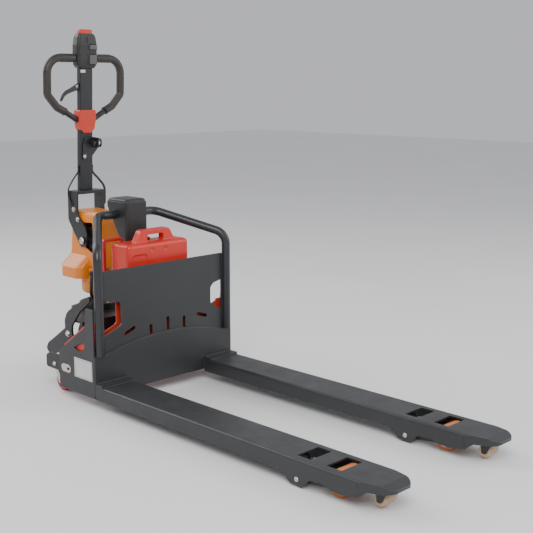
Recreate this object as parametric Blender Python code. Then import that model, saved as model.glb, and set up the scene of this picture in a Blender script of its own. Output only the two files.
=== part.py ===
"""Powered pallet jack: metres, +Z up, forks towards -Y, the operator stands at +Y.

Right and left are the operator's, who faces the forks: right is -X, left is +X.
Positions below are measured from the front face of the bulkhead, on the floor, at mid width.
The whole assembly hangs on one empty that puts the middle of its length at Y = 0.
"""

import math

import bmesh
import bpy
from mathutils import Vector

# ---- driving dimensions, metres ----
FORK_LENGTH = 1.22
WIDTH = 0.612
FORK_WIDTH = 0.134
FORK_TOP = 0.0795
FORK_BOTTOM = 0.033
SHEET = 0.005
GAP = 0.0003
REAR_END = 0.562

FORK_X = WIDTH / 2 - FORK_WIDTH / 2
ORIGIN_SHIFT = (FORK_LENGTH - REAR_END) / 2

BRACKET_AXLE = Vector((0, -0.911, 0.022))
LOAD_ROLLER_R = 0.037
LOAD_ROLLER = Vector((0, -1.034, LOAD_ROLLER_R))
ROD_PIN = Vector((0, -0.905, 0.055))
ROD_Z = 0.062
ENTRY_R = 0.018
ENTRY_ROLLER = Vector((0, -1.163, 0.029))
HOLE_HALF_WIDTH = 0.0425
HOLES_Y = ((-0.942, -0.892), (-1.050, -0.9975))

PANEL_TOP = 0.459
BULKHEAD_BOTTOM = 0.041
BULKHEAD_TOP = 0.178
BULKHEAD_RISE = 0.036
CHASSIS_BACK = 0.212
EYE_ENDS = ((0.158, 0.108), (0.186, 0.108))
HOOP_R = 0.0155
HOOP_X = 0.2835
HOOP_BEND_Z = 0.53
HOOP_BAR = Vector((0.125, 0.214, 0.61))

STEER_Y = 0.40
WHEEL_R = 0.105
WHEEL_WIDTH = 0.070
CARRIER_Z = (0.232, 0.240)
CYLINDER = Vector((0, 0.185, 0))
CRANK = Vector((0, 0.125, 0.0895))
CRANK_REACH = 0.0304
CRANK_SWING = math.radians(60)
CASTOR = Vector((0.250, 0.285, 0))
CASTOR_TRAIL = 0.023
CASTOR_R = 0.036
BATTERY_X = 0.012
BAIL_Y = 0.160

TILT = Vector((0, 0.400, 0.4965))
EAR_X = (0.0555, 0.0625)
BRIDGE_Z = (0.6635, 0.6750)
SHAFT_FOOT = Vector((0, 0.466, 0.682))
LEAN = math.radians(3.0)
SHAFT_HALF = (0.0270, 0.0120)
HEAD_Z = (0.440, 0.562)
HEAD_HALF = (0.0430, 0.0210)
LOOP_TUBE_R = 0.0105
GRIP_R = 0.0155
LOOP_X = 0.160
LOOP_TOP = 0.475
LOOP_HUB = (0.0330, 0.252)
HUB_Z = (0.206, 0.290)



# ---- scene, materials and joints' empties ----
def clear_scene():
    for obj in list(bpy.data.objects):
        bpy.data.objects.remove(obj, do_unlink=True)


def material(name, colour, roughness, metallic=0.0):
    made = bpy.data.materials.new(name)
    made.use_nodes = True
    shader = made.node_tree.nodes["Principled BSDF"]
    shader.inputs["Base Color"].default_value = (*colour, 1.0)
    shader.inputs["Roughness"].default_value = roughness
    shader.inputs["Metallic"].default_value = metallic
    made.diffuse_color = (*colour, 1.0)
    return made


def pivot(name, at, parent=None, lean=0.0):
    """Empty on a joint's axis, at a place in the assembly."""
    empty = bpy.data.objects.new(name, None)
    bpy.context.collection.objects.link(empty)
    empty.empty_display_size = 0.04
    empty["place"] = list(at)
    before = Vector(parent["place"]) if parent else Vector((0, 0, 0))
    empty.parent = parent
    empty.location = Vector(at) - before
    empty.rotation_euler = (lean, 0, 0)
    return empty


# ---- outlines ----
def fillet(corners, steps=4):
    """Closed outline from (u, v, radius) corners, each turned into an arc of its radius."""
    outline = []
    for i, (u, v, radius) in enumerate(corners):
        here = Vector((u, v))
        before = (Vector(corners[i - 1][:2]) - here).normalized()
        after = (Vector(corners[(i + 1) % len(corners)][:2]) - here).normalized()
        if not radius:
            outline.append((u, v))
            continue
        half = before.angle(after) / 2
        centre = here + (before + after).normalized() * radius / math.sin(half)
        first = here + before * radius / math.tan(half) - centre
        last = here + after * radius / math.tan(half) - centre
        start = math.atan2(first.y, first.x)
        turn = (math.atan2(last.y, last.x) - start + math.pi) % math.tau - math.pi
        for step in range(steps + 1):
            angle = start + turn * step / steps
            outline.append((centre.x + radius * math.cos(angle), centre.y + radius * math.sin(angle)))
    return outline


def rectangle(low, high, radius=0.0, steps=3):
    (a, b), (c, d) = low, high
    return fillet([(a, b, radius), (c, b, radius), (c, d, radius), (a, d, radius)], steps)


def capsule(first, last, radius, steps=6):
    """Outline of a round-ended bar between two points."""
    first, last = Vector(first), Vector(last)
    heading = math.atan2(last.y - first.y, last.x - first.x)
    outline = []
    for centre, start in ((last, heading - math.pi / 2), (first, heading + math.pi / 2)):
        for step in range(steps + 1):
            angle = start + math.pi * step / steps
            outline.append((centre.x + radius * math.cos(angle), centre.y + radius * math.sin(angle)))
    return outline


def round_path(points, radius, steps=6):
    """Path through the points whose inner corners are arcs of the radius."""
    points = [Vector(p) for p in points]
    path = [points[0]]
    for before, here, after in zip(points, points[1:], points[2:]):
        back, on = (before - here).normalized(), (after - here).normalized()
        half = back.angle(on) / 2
        centre = here + (back + on).normalized() * radius / math.sin(half)
        first = here + back * radius / math.tan(half) - centre
        last = here + on * radius / math.tan(half) - centre
        sweep = first.angle(last)
        for step in range(steps + 1):
            share = sweep * step / steps
            arm = first * math.sin(sweep - share) + last * math.sin(share)
            path.append(centre + arm / math.sin(sweep))
    path.append(points[-1])
    return path


def curve_through(points, count):
    """Evenly stepped points of a smooth curve through the given ones."""
    points = [Vector(p) for p in points]
    ends = [2 * points[0] - points[1], *points, 2 * points[-1] - points[-2]]
    made = []
    for step in range(count + 1):
        along = step / count * (len(points) - 1)
        i = min(int(along), len(points) - 2)
        t = along - i
        a, b, c, d = ends[i : i + 4]
        made.append(
            0.5 * (
                2 * b + (c - a) * t + (2 * a - 5 * b + 4 * c - d) * t**2 + (3 * b - a - 3 * c + d) * t**3
            )
        )
    return made


# ---- solids ----
def prism(outline, axis, low, high):
    """Outline square to the axis, pushed along it: (y, z) for X, (x, z) for Y, (x, y) for Z."""
    place = {
        "X": lambda u, v, w: (w, u, v),
        "Y": lambda u, v, w: (u, w, v),
        "Z": lambda u, v, w: (u, v, w),
    }[axis]
    return loft([[place(u, v, w) for u, v in outline] for w in (low, high)])


def loft(rings):
    """Closed skin over rings that have the same number of points."""
    solid = bmesh.new()
    made = [[solid.verts.new(point) for point in ring] for ring in rings]
    solid.faces.new(made[0])
    solid.faces.new(made[-1])
    for first, last in zip(made, made[1:]):
        for i in range(len(first)):
            j = (i + 1) % len(first)
            solid.faces.new((first[i], first[j], last[j], last[i]))
    bmesh.ops.recalc_face_normals(solid, faces=solid.faces)
    return solid


def box(low, high):
    return prism(rectangle(low[:2], high[:2]), "Z", low[2], high[2])


def lathe(profile, axis, centre, steps=24):
    """Profile of (radius, distance along the axis), turned round the axis. Radius 0 closes an end."""
    solid = bmesh.new()
    turn = {"X": (0, 1, 2), "Y": (1, 2, 0), "Z": (2, 0, 1)}[axis]
    rings = []
    for radius, along in profile:
        ring = []
        for step in range(steps if radius else 1):
            angle = math.tau * step / steps
            local = [0.0, 0.0, 0.0]
            local[turn[0]] = along
            local[turn[1]] = radius * math.cos(angle)
            local[turn[2]] = radius * math.sin(angle)
            ring.append(solid.verts.new(Vector(local) + Vector(centre)))
        rings.append(ring)
    closed = all(radius for radius, _ in profile)
    for i in range(len(rings) if closed else len(rings) - 1):
        first, last = rings[i], rings[(i + 1) % len(rings)]
        for step in range(steps):
            j = (step + 1) % steps
            corners = [
                first[step % len(first)], first[j % len(first)], last[j % len(last)], last[step % len(last)]
            ]
            solid.faces.new(list(dict.fromkeys(corners)))
    bmesh.ops.recalc_face_normals(solid, faces=solid.faces)
    return solid


def rod(axis, centre, radius, low, high, steps=16):
    return lathe([(0, low), (radius, low), (radius, high), (0, high)], axis, centre, steps)


def pipe(path, radius, inner=None, sides=10):
    """Round bar along a path, or a sleeve where inner is its bore radius."""
    path = [Vector(p) for p in path]
    heading = (path[1] - path[0]).normalized()
    across = heading.orthogonal().normalized()
    frames = []
    for i, point in enumerate(path):
        ahead = (path[min(i + 1, len(path) - 1)] - path[max(i - 1, 0)]).normalized()
        across = heading.rotation_difference(ahead) @ across
        heading = ahead
        frames.append((point, across, heading.cross(across)))

    def around(point, u, v, r):
        angles = [math.tau * side / sides for side in range(sides)]
        return [point + (u * math.cos(a) + v * math.sin(a)) * r for a in angles]

    rings = [around(*frame, radius) for frame in frames]
    if inner is None:
        return loft(rings)
    solid = bmesh.new()
    rings += [around(*frame, inner) for frame in reversed(frames)]
    made = [[solid.verts.new(point) for point in points] for points in rings]
    for first, last in zip(made, made[1:] + made[:1]):
        for i in range(sides):
            j = (i + 1) % sides
            solid.faces.new((first[i], first[j], last[j], last[i]))
    bmesh.ops.recalc_face_normals(solid, faces=solid.faces)
    return solid


# ---- objects ----
def put(name, solid, parent, local=False):
    """Object from a solid, with its origin at its parent's place. local: the solid is already there."""
    if not local:
        bmesh.ops.translate(solid, vec=-Vector(parent["place"]), verts=solid.verts)
    mesh = bpy.data.meshes.new(name)
    solid.to_mesh(mesh)
    solid.free()
    obj = bpy.data.objects.new(name, mesh)
    bpy.context.collection.objects.link(obj)
    obj.parent = parent
    return obj


def piece(name, solid, finish, parent, add=(), cut=(), keep=(), local=False):
    """A named sub-part, with solids welded to it, cut from it, or that it is kept inside."""
    obj = put(name, solid, parent, local)
    obj.data.materials.append(finish)
    for operation, tools in (("INTERSECT", keep), ("UNION", add), ("DIFFERENCE", cut)):
        for i, tool in enumerate(tools):
            cutter = put(f"{name}_{operation.lower()}_{i}", tool, parent, local)
            cutter.hide_render = True
            cutter.display_type = "WIRE"
            cutter.hide_set(True)
            change = obj.modifiers.new(cutter.name, "BOOLEAN")
            change.operation = operation
            change.object = cutter
    obj.data.shade_smooth()
    obj.data.set_sharp_from_angle(angle=math.radians(35))
    return obj


def mirrored(value, side):
    """The value's X on one side of the middle: side is -1 on the right and 1 on the left."""
    return Vector((value[0] * side, value[1], value[2]))


# ---- forks ----
def fork_profile():
    """(y, z) side outline of a fork: the skirt dips round the bracket axle and at the roller."""
    tip, floor = -FORK_LENGTH, FORK_BOTTOM
    y, z = BRACKET_AXLE.y, BRACKET_AXLE.z
    dip = 0.016
    return fillet(
        [
            (-GAP, FORK_TOP, 0),
            (-GAP, floor, 0),
            (y + 0.056, floor, 0.02),
            (y + 0.022, z - dip, 0.012),
            (y - 0.022, z - dip, 0.012),
            (y - 0.046, 0.032, 0.015),
            (y - 0.094, 0.036, 0.02),
            (y - 0.122, 0.027, 0.02),
            (y - 0.160, 0.026, 0.03),
            (y - 0.212, 0.034, 0.004),
            (y - 0.236, 0.054, 0.008),
            (tip + 0.035, 0.057, 0.02),
            (tip, 0.0615, 0.004),
            (tip, 0.069, 0.005),
            (tip + 0.03, FORK_TOP, 0.03),
        ],
        steps=4,
    )


def fork_plan():
    """(x, y) outline of a fork, tapered to a round nose."""
    half, tip = FORK_WIDTH / 2, -FORK_LENGTH
    return fillet(
        [
            (-half, -GAP, 0),
            (-half, tip + 0.100, 0.05),
            (-half * 0.66, tip, 0.035),
            (half * 0.66, tip, 0.035),
            (half, tip + 0.100, 0.05),
            (half, -GAP, 0),
        ],
        steps=6,
    )


def build_fork(name, side, paint, chassis):
    x, half = FORK_X * side, FORK_WIDTH / 2
    section = fillet(
        [
            (x - half, -0.05, 0), (x + half, -0.05, 0), (x + half, FORK_TOP, 0.008),
            (x - half, FORK_TOP, 0.008),
        ]
    )
    plan = [(x + u, v) for u, v in fork_plan()]
    channel = box((x - half + SHEET, -1.135, -0.05), (x + half - SHEET, 0.05, FORK_TOP - SHEET))
    holes = [
        prism(rectangle((x - HOLE_HALF_WIDTH, low), (x + HOLE_HALF_WIDTH, high), 0.003, 2), "Z", 0.05, 0.2)
        for low, high in HOLES_Y
    ]
    axle_bore = rod("X", (x, BRACKET_AXLE.y, BRACKET_AXLE.z), 0.0085, -0.1, 0.1)
    root_plate = box(
        (x - half + 0.0005, -0.034, FORK_TOP - 0.004), (x + half - 0.0005, -GAP, FORK_TOP + 0.007)
    )
    piece(
        name,
        prism(fork_profile(), "X", x - half, x + half),
        paint,
        chassis,
        keep=[prism(plan, "Z", -0.1, 0.2), prism(section, "Y", -1.3, 0.1)],
        add=[root_plate],
        cut=[channel, axle_bore, *holes],
    )


# ---- chassis ----
def build_bulkhead(paint, chassis):
    half = WIDTH / 2
    flat = 0.262
    arch = []
    for step in range(13):
        x = flat * (1 - step / 6)
        arch.append((x, BULKHEAD_TOP + BULKHEAD_RISE * (1 - (x / flat) ** 2)))
    outline = [
        (-half, BULKHEAD_TOP),
        (-half, BULKHEAD_BOTTOM),
        (half, BULKHEAD_BOTTOM),
        (half, BULKHEAD_TOP),
        *arch,
    ]
    windows = [
        box(
            (FORK_X * s - 0.045, -0.01, 0.0), (FORK_X * s + 0.045, 0.02, FORK_TOP - SHEET - 0.001)
        ) for s in (-1, 1)
    ]
    piece("bulkhead", prism(outline, "Y", 0.0, 0.006), paint, chassis, cut=windows)


def window_outline(side):
    """(x, z) trapezoid window next to a hoop leg, taller on its outer side and larger on the right."""
    if side < 0:
        corners = [
            (0.2645, 0.238), (0.2645, 0.362), (0.192, 0.346), (0.188, 0.337), (0.188, 0.273), (0.195, 0.265)
        ]
        radii = (0.004, 0.004, 0.006, 0.004, 0.004, 0.006)
    else:
        corners = [
            (0.2645, 0.248), (0.2645, 0.362), (0.226, 0.353), (0.212, 0.338), (0.212, 0.284), (0.222, 0.272)
        ]
        radii = (0.004, 0.004, 0.012, 0.012, 0.008, 0.008)
    return fillet([(x * side, z, r) for (x, z), r in zip(corners, radii)])


def build_panel(paint, chassis):
    low, high = 0.0063, 0.0113
    half, slot_r, slot_foot = 0.2688, 0.0062, 0.205
    lines = [((x, slot_foot), (x, z)) for x, z in ((-0.064, 0.243), (0.012, 0.258), (0.0855, 0.248))]
    lines += [((-0.172, 0.235), (-0.137, 0.249)), ((0.188, 0.238), (0.151, 0.250))]
    cuts = [prism(capsule(*ends, slot_r, 5), "Y", 0.0, 0.02) for ends in lines]
    cuts += [prism(window_outline(side), "Y", 0.0, 0.02) for side in (-1, 1)]
    corners = [(-half, 0.10, 0), (half, 0.10, 0), (half, PANEL_TOP, 0.003), (-half, PANEL_TOP, 0.003)]
    piece("front_panel", prism(fillet(corners, 2), "Y", low, high), paint, chassis, cut=cuts)


def build_side_plate(name, side, paint, chassis):
    low, high = sorted((WIDTH / 2 * side, (WIDTH / 2 - 0.006) * side))
    outline = fillet(
        [
            (0.0063, 0.0335, 0),
            (CHASSIS_BACK, 0.0335, 0.006),
            (CHASSIS_BACK, 0.162, 0.012),
            (0.053, 0.272, 0.015),
            (0.048, 0.337, 0.006),
            (0.0063, 0.337, 0),
        ]
    )
    sight = [(0.124, 0.190, 0.003), (0.067, 0.217, 0.004), (0.058, 0.207, 0.006), (0.064, 0.188, 0.010)]
    sight.append((0.096, 0.183, 0.016))
    cuts = [prism(fillet(sight), "X", -1, 1)]
    if side < 0:
        cuts.append(prism(capsule(*EYE_ENDS, 0.0147), "X", -1, 1))
    piece(name, prism(outline, "X", low, high), paint, chassis, cut=cuts)


def build_chassis(finish, chassis):
    for name, side in (("fork_right", -1), ("fork_left", 1)):
        build_fork(name, side, finish["charcoal"], chassis)
    build_bulkhead(finish["charcoal"], chassis)
    build_panel(finish["charcoal"], chassis)
    for name, side in (("side_plate_right", -1), ("side_plate_left", 1)):
        build_side_plate(name, side, finish["charcoal"], chassis)
    eye = prism(capsule(*EYE_ENDS, 0.0142), "X", -WIDTH / 2, -WIDTH / 2 + 0.0055)
    slot = prism(capsule((0.156, 0.107), (0.162, 0.107), 0.005, 5), "X", -1, 1)
    piece("lashing_eye", eye, finish["zinc"], chassis, cut=[slot])

    leg = Vector((HOOP_X, 0, BULKHEAD_TOP + GAP))
    knee = Vector((HOOP_X, 0, HOOP_BEND_Z))
    corners = [mirrored(leg, -1), mirrored(knee, -1), mirrored(HOOP_BAR, -1), HOOP_BAR, knee, leg]
    piece(
        "guard_hoop", pipe(round_path(corners, 0.052, 6), HOOP_R, sides=12), finish["black_steel"], chassis
    )

    plan = rectangle((-0.2985, 0.036), (0.2985, 0.190), 0.004, 2)
    inside = rectangle((-0.2945, 0.040), (0.2945, 0.300))
    slope = [(0.030, 0.075), (0.200, 0.075), (0.200, 0.180), (0.058, 0.278), (0.045, 0.284)]
    slope += [(0.045, 0.450), (0.030, 0.450)]
    cuts = [prism(inside, "Z", 0.0, 0.5)]
    for side in (-1, 1):
        shoulder = sorted((side * 0.262, side * 0.400))
        cuts.append(box((shoulder[0], 0.0, 0.284), (shoulder[1], 0.3, 0.5)))
        cuts.append(prism(window_outline(side), "Y", 0.0, 0.05))
    piece(
        "inner_frame",
        prism(plan, "Z", 0.05, 0.47),
        finish["red"],
        chassis,
        keep=[prism(slope, "X", -0.4, 0.4)],
        cut=cuts,
    )
    tray = [(0.0405, 0.345), (0.157, 0.345), (0.157, 0.400), (0.153, 0.400)]
    tray += [(0.153, 0.350), (0.0445, 0.350), (0.0445, 0.400), (0.0405, 0.400)]
    piece(
        "battery_tray",
        prism(tray, "X", BATTERY_X - 0.150, BATTERY_X + 0.150),
        finish["black_steel"],
        chassis,
    )

    for side, label in ((-1, "right"), (1, "left")):
        x = FORK_X * side
        axle = rod("X", (x, BRACKET_AXLE.y, BRACKET_AXLE.z), 0.008, -FORK_WIDTH / 2, FORK_WIDTH / 2)
        piece(f"bracket_axle_{label}", axle, finish["zinc"], chassis)
        build_entry_bracket(f"entry_bracket_{label}", x, finish["black_steel"], chassis)


def build_entry_bracket(name, x, paint, chassis):
    """Yoke under the fork's nose, with the entry roller's fixed axle across it."""
    y, z = ENTRY_ROLLER.y, ENTRY_ROLLER.z
    foot, low = 0.0500, z - 0.006
    ear = fillet(
        [(y - 0.024, foot, 0), (y - 0.009, low, 0.006), (y + 0.006, low, 0.006), (y + 0.006, foot, 0)]
    )
    ears = [prism(ear, "X", x + s * 0.0300 - 0.002, x + s * 0.0300 + 0.002) for s in (-1, 1)]
    axle = rod("X", (x, y, z), 0.004, -0.030, 0.030, 12)
    top = box((x - 0.032, y - 0.026, 0.0490), (x + 0.032, y + 0.007, 0.0530))
    piece(name, top, paint, chassis, add=[*ears, axle])


# ---- housing, battery and its bail ----
def build_housing(finish, chassis):
    side = fillet(
        [
            (0.1535, 0.4005, 0),
            (0.178, 0.4005, 0.004),
            (0.186, 0.515, 0.02),
            (0.270, 0.646, 0.01),
            (0.270, 0.6500, 0),
            (0.1535, 0.6500, 0),
        ]
    )
    bar = rod("X", (0, HOOP_BAR.y, HOOP_BAR.z), HOOP_R + 0.0006, -0.2, 0.2, 28)
    plan = rectangle((-0.047, 0.1535), (0.047, 0.270), 0.010, 3)
    piece(
        "controller_housing",
        prism(side, "X", -0.047, 0.047),
        finish["black_plastic"],
        chassis,
        keep=[prism(plan, "Z", 0.3, 0.7)],
        cut=[bar],
    )
    lid = [
        [(x, y, z) for x, y in rectangle((-0.047 + i, 0.1535 + i), (0.047 - i, 0.270 - i), 0.010, 3)]
        for i, z in ((0.0, 0.6503), (0.0, 0.6570), (0.004, 0.6640), (0.010, 0.6670))
    ]
    piece("housing_lid", loft(lid), finish["black_plastic"], chassis)


def build_battery(finish, battery, bail):
    x, half = BATTERY_X, 0.135
    body = [
        [(u, v, z) for u, v in rectangle((x - half + i, 0.047 + i), (x + half - i, 0.150 - i), 0.010, 3)]
        for i, z in ((0.0, 0.352), (0.0, 0.512), (0.003, 0.520), (0.010, 0.524))
    ]
    grip = fillet(
        [
            (x - 0.090, 0.518, 0), (x + 0.090, 0.518, 0), (x + 0.062, 0.568, 0.014),
            (x - 0.062, 0.568, 0.014),
        ], 5
    )
    hand_hole = prism(rectangle((x - 0.036, 0.5255), (x + 0.036, 0.550), 0.008, 4), "Y", 0.0, 0.2)
    handle = prism(grip, "Y", 0.066, 0.096)
    piece("battery_case", loft(body), finish["red"], battery, add=[handle], cut=[hand_hole])
    knob = [(0, 0.5243), (0.016, 0.5243), (0.016, 0.531), (0.013, 0.534), (0, 0.534)]
    piece("battery_cap", lathe(knob, "Z", (x, 0.122, 0), 20), finish["dark_red"], battery)
    outer = rectangle((-0.148, 0.403), (-0.060, 0.538), 0.014, 5)
    inner = rectangle((-0.136, 0.415), (-0.072, 0.526), 0.006, 4)
    loop = prism(outer, "Y", BAIL_Y - 0.006, BAIL_Y + 0.006)
    piece("battery_bail", loop, finish["dark_red"], bail, cut=[prism(inner, "Y", 0.0, 0.3)])


# ---- lift: ram, cylinder, bell crank, push rods, roller brackets ----
def build_lift(finish, chassis, frame, crank, rods, brackets, rollers):
    x, y = CYLINDER.x, CYLINDER.y
    crosshead = box((-0.06, 0.1575, 0.352), (0.06, 0.212, 0.364))
    piece(
        "lift_ram",
        rod("Z", (x, y, 0), 0.0140, 0.128, 0.358, 24),
        finish["chrome"],
        chassis,
        add=[crosshead],
    )
    barrel = rod("Z", (x, y, 0), 0.026, 0.1123, 0.335, 24)
    bore = rod("Z", (x, y, 0), 0.0144, 0.122, 0.40, 24)
    piece("lift_cylinder", barrel, finish["black_steel"], frame, cut=[bore])

    shaft = rod("X", CRANK, 0.011, -0.285, 0.285, 20)
    arms = []
    for side in (-1, 1):
        lean = CRANK_SWING / 2
        tip = (CRANK.y + CRANK_REACH * math.sin(lean), CRANK.z - CRANK_REACH * math.cos(lean))
        lower = capsule((CRANK.y, CRANK.z), tip, 0.008, 6)
        upper = capsule((CRANK.y, CRANK.z), (0.205, 0.112), 0.009, 6)
        for outline, at in ((lower, FORK_X), (upper, 0.15)):
            arms.append(prism(outline, "X", at * side - 0.006, at * side + 0.006))
    piece("bell_crank", shaft, finish["black_steel"], crank, add=arms)

    for side, label in ((-1, "right"), (1, "left")):
        build_push_rod(f"push_rod_{label}", FORK_X * side, finish["black_steel"], rods[side])
        build_roller_bracket(
            f"roller_bracket_{label}", FORK_X * side, finish["black_steel"], brackets[side]
        )
        half = 0.038
        profile = [(0.0093, -half), (LOAD_ROLLER_R - 0.003, -half), (LOAD_ROLLER_R, -half + 0.003)]
        profile += [(LOAD_ROLLER_R, half - 0.003), (LOAD_ROLLER_R - 0.003, half), (0.0093, half)]
        centre = (FORK_X * side, LOAD_ROLLER.y, LOAD_ROLLER.z)
        piece(f"load_roller_{label}", lathe(profile, "X", centre, 28), finish["orange"], rollers[side])


def build_push_rod(name, x, paint, parent):
    """Bar along the fork whose front yoke pushes the bracket's pin and whose rear pad meets the crank."""
    rear = CRANK.y + CRANK_REACH * math.sin(CRANK_SWING / 2) - 0.0125
    bar = prism(
        rectangle((x - 0.007, ROD_Z - 0.006), (x + 0.007, ROD_Z + 0.006), 0.003, 2),
        "Y",
        -0.850,
        rear - 0.001,
    )
    pad = box((x - 0.012, rear - 0.009, ROD_Z - 0.013), (x + 0.012, rear, ROD_Z + 0.006))
    yoke = box((x - 0.0105, ROD_PIN.y + 0.0065, 0.046), (x + 0.0105, -0.845, 0.0685))
    slot = box((x - 0.0055, -1.0, 0.03), (x + 0.0055, -0.862, 0.1))
    piece(name, bar, paint, parent, add=[pad, yoke], cut=[slot])


def build_roller_bracket(name, x, paint, parent):
    """Two side plates on the pivot tube, the roller's axle between them, and a lug with the rod's pin."""
    low, high = (BRACKET_AXLE.y, BRACKET_AXLE.z), (LOAD_ROLLER.y, LOAD_ROLLER.z)
    side_plate = capsule(high, low, 0.0135, 8)
    plates = [prism(side_plate, "X", x + s * 0.0440 - 0.0025, x + s * 0.0440 + 0.0025) for s in (-1, 1)]
    axle = rod("X", (x, LOAD_ROLLER.y, LOAD_ROLLER.z), 0.009, -0.045, 0.045)
    lug = prism(capsule((ROD_PIN.y, ROD_PIN.z), low, 0.009, 6), "X", x - 0.004, x + 0.004)
    pin = rod("X", (x, ROD_PIN.y, ROD_PIN.z), 0.005, -0.012, 0.012, 12)
    tube = rod("X", (x, *low), 0.0125, -0.045, 0.045)
    bore = rod("X", (x, *low), 0.0083, -0.2, 0.2)
    piece(name, tube, paint, parent, add=[*plates, axle, lug, pin], cut=[bore])


def build_entry_rollers(finish, entries):
    for side, label in ((-1, "right"), (1, "left")):
        centre = (FORK_X * side, ENTRY_ROLLER.y, ENTRY_ROLLER.z)
        profile = [(0.0043, -0.027), (ENTRY_R - 0.003, -0.027), (ENTRY_R, -0.024)]
        profile += [(ENTRY_R, 0.024), (ENTRY_R - 0.003, 0.027), (0.0043, 0.027)]
        piece(f"entry_roller_{label}", lathe(profile, "X", centre, 20), finish["tan"], entries[side])


# ---- drive frame ----
def build_drive_frame(finish, frame, castors, castor_wheels):
    low, high = CARRIER_Z
    section = [(0.222, 0.078), (0.262, 0.078), (0.262, 0.112), (0.2325, 0.112), (0.2325, low)]
    section += [(0.490, low), (0.490, high), (0.2265, high), (0.2265, 0.112), (0.222, 0.112)]
    beam = box((-0.285, 0.222, 0.0815), (0.285, 0.262, 0.110))
    foot = box((-0.045, 0.152, 0.100), (0.045, 0.230, 0.112))
    tables = [
        prism(rectangle((s * 0.25 - 0.031, 0.240), (s * 0.25 + 0.031, 0.316), 0.008), "Z", 0.099, 0.110)
        for s in (-1, 1)
    ]
    cheek = fillet(
        [
            (0.222, 0.0815, 0), (0.320, 0.0815, 0.010), (0.320, 0.125, 0.012), (0.295, 0.138, 0.010),
            (0.222, 0.138, 0.008),
        ],
    )
    cheeks = [prism(cheek, "X", s * 0.286 - 0.003, s * 0.286 + 0.003) for s in (-1, 1)]
    bearing = rod("Z", (0, STEER_Y, 0), 0.0455, 0.0, 1.0, 32)
    shoulder = [(0.1958, 0.0, 0), (0.1958, 0.296, 0.02), (0.104, 0.405, 0.04), (0.070, 0.490, 0.04)]
    plan = fillet(shoulder + [(-x, y, r) for x, y, r in reversed(shoulder)])
    piece(
        "drive_frame",
        prism(section, "X", -0.1958, 0.1958),
        finish["black_steel"],
        frame,
        keep=[prism(plan, "Z", 0.0, 0.3)],
        add=[beam, foot, *tables, *cheeks],
        cut=[bearing],
    )
    arm = fillet(
        [
            (0.2325, 0.1115, 0),
            (0.2325, 0.150, 0.02),
            (0.282, 0.186, 0.02),
            (0.284, 0.216, 0.03),
            (0.228, 0.280, 0.05),
            (0.168, 0.322, 0.003),
            (0.168, 0.345, 0.006),
            (0.250, 0.302, 0.06),
            (0.309, 0.265, 0.05),
            (0.326, 0.232, 0.03),
            (0.323, 0.205, 0.010),
            (0.380, 0.167, 0.03),
            (0.437, 0.130, 0.02),
            (0.452, 0.106, 0.012),
            (0.430, 0.089, 0.010),
            (0.386, 0.098, 0.03),
            (0.330, 0.128, 0.03),
            (0.285, 0.1115, 0),
        ]
    )
    for side, label in ((-1, "right"), (1, "left")):
        low_x, high_x = sorted((side * 0.1962, side * 0.2042))
        beam_clear = box((-0.4, 0.20, 0.0), (0.4, 0.30, 0.1123))
        piece(
            f"frame_arm_{label}",
            prism(arm, "X", low_x, high_x),
            finish["black_steel"],
            frame,
            cut=[beam_clear],
        )
    for side, label in ((-1, "right"), (1, "left")):
        at = mirrored(CASTOR, side)
        wheel_at = at + Vector((0, -CASTOR_TRAIL, CASTOR_R))
        crown = prism(
            rectangle((at.x - 0.023, at.y - 0.026), (at.x + 0.023, at.y + 0.020), 0.01), "Z", 0.0735, 0.0790
        )
        stem = rod("Z", (at.x, at.y, 0), 0.012, 0.076, 0.0987, 16)
        cheek = capsule((wheel_at.y, wheel_at.z), (at.y - 0.006, 0.068), 0.010, 6)
        cheeks = [
            prism(cheek, "X", at.x + s * 0.0205 - 0.0025, at.x + s * 0.0205 + 0.0025)
            for s in (-1, 1)
        ]
        axle = rod("X", wheel_at, 0.005, -0.021, 0.021, 12)
        piece(f"castor_fork_{label}", crown, finish["zinc"], castors[side], add=[stem, *cheeks, axle])
        profile = [(0.0053, -0.015), (CASTOR_R - 0.004, -0.015), (CASTOR_R, -0.011)]
        profile += [(CASTOR_R, 0.011), (CASTOR_R - 0.004, 0.015), (0.0053, 0.015)]
        piece(
            f"castor_wheel_{label}",
            lathe(profile, "X", wheel_at, 20),
            finish["dark_red"],
            castor_wheels[side],
        )


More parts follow.
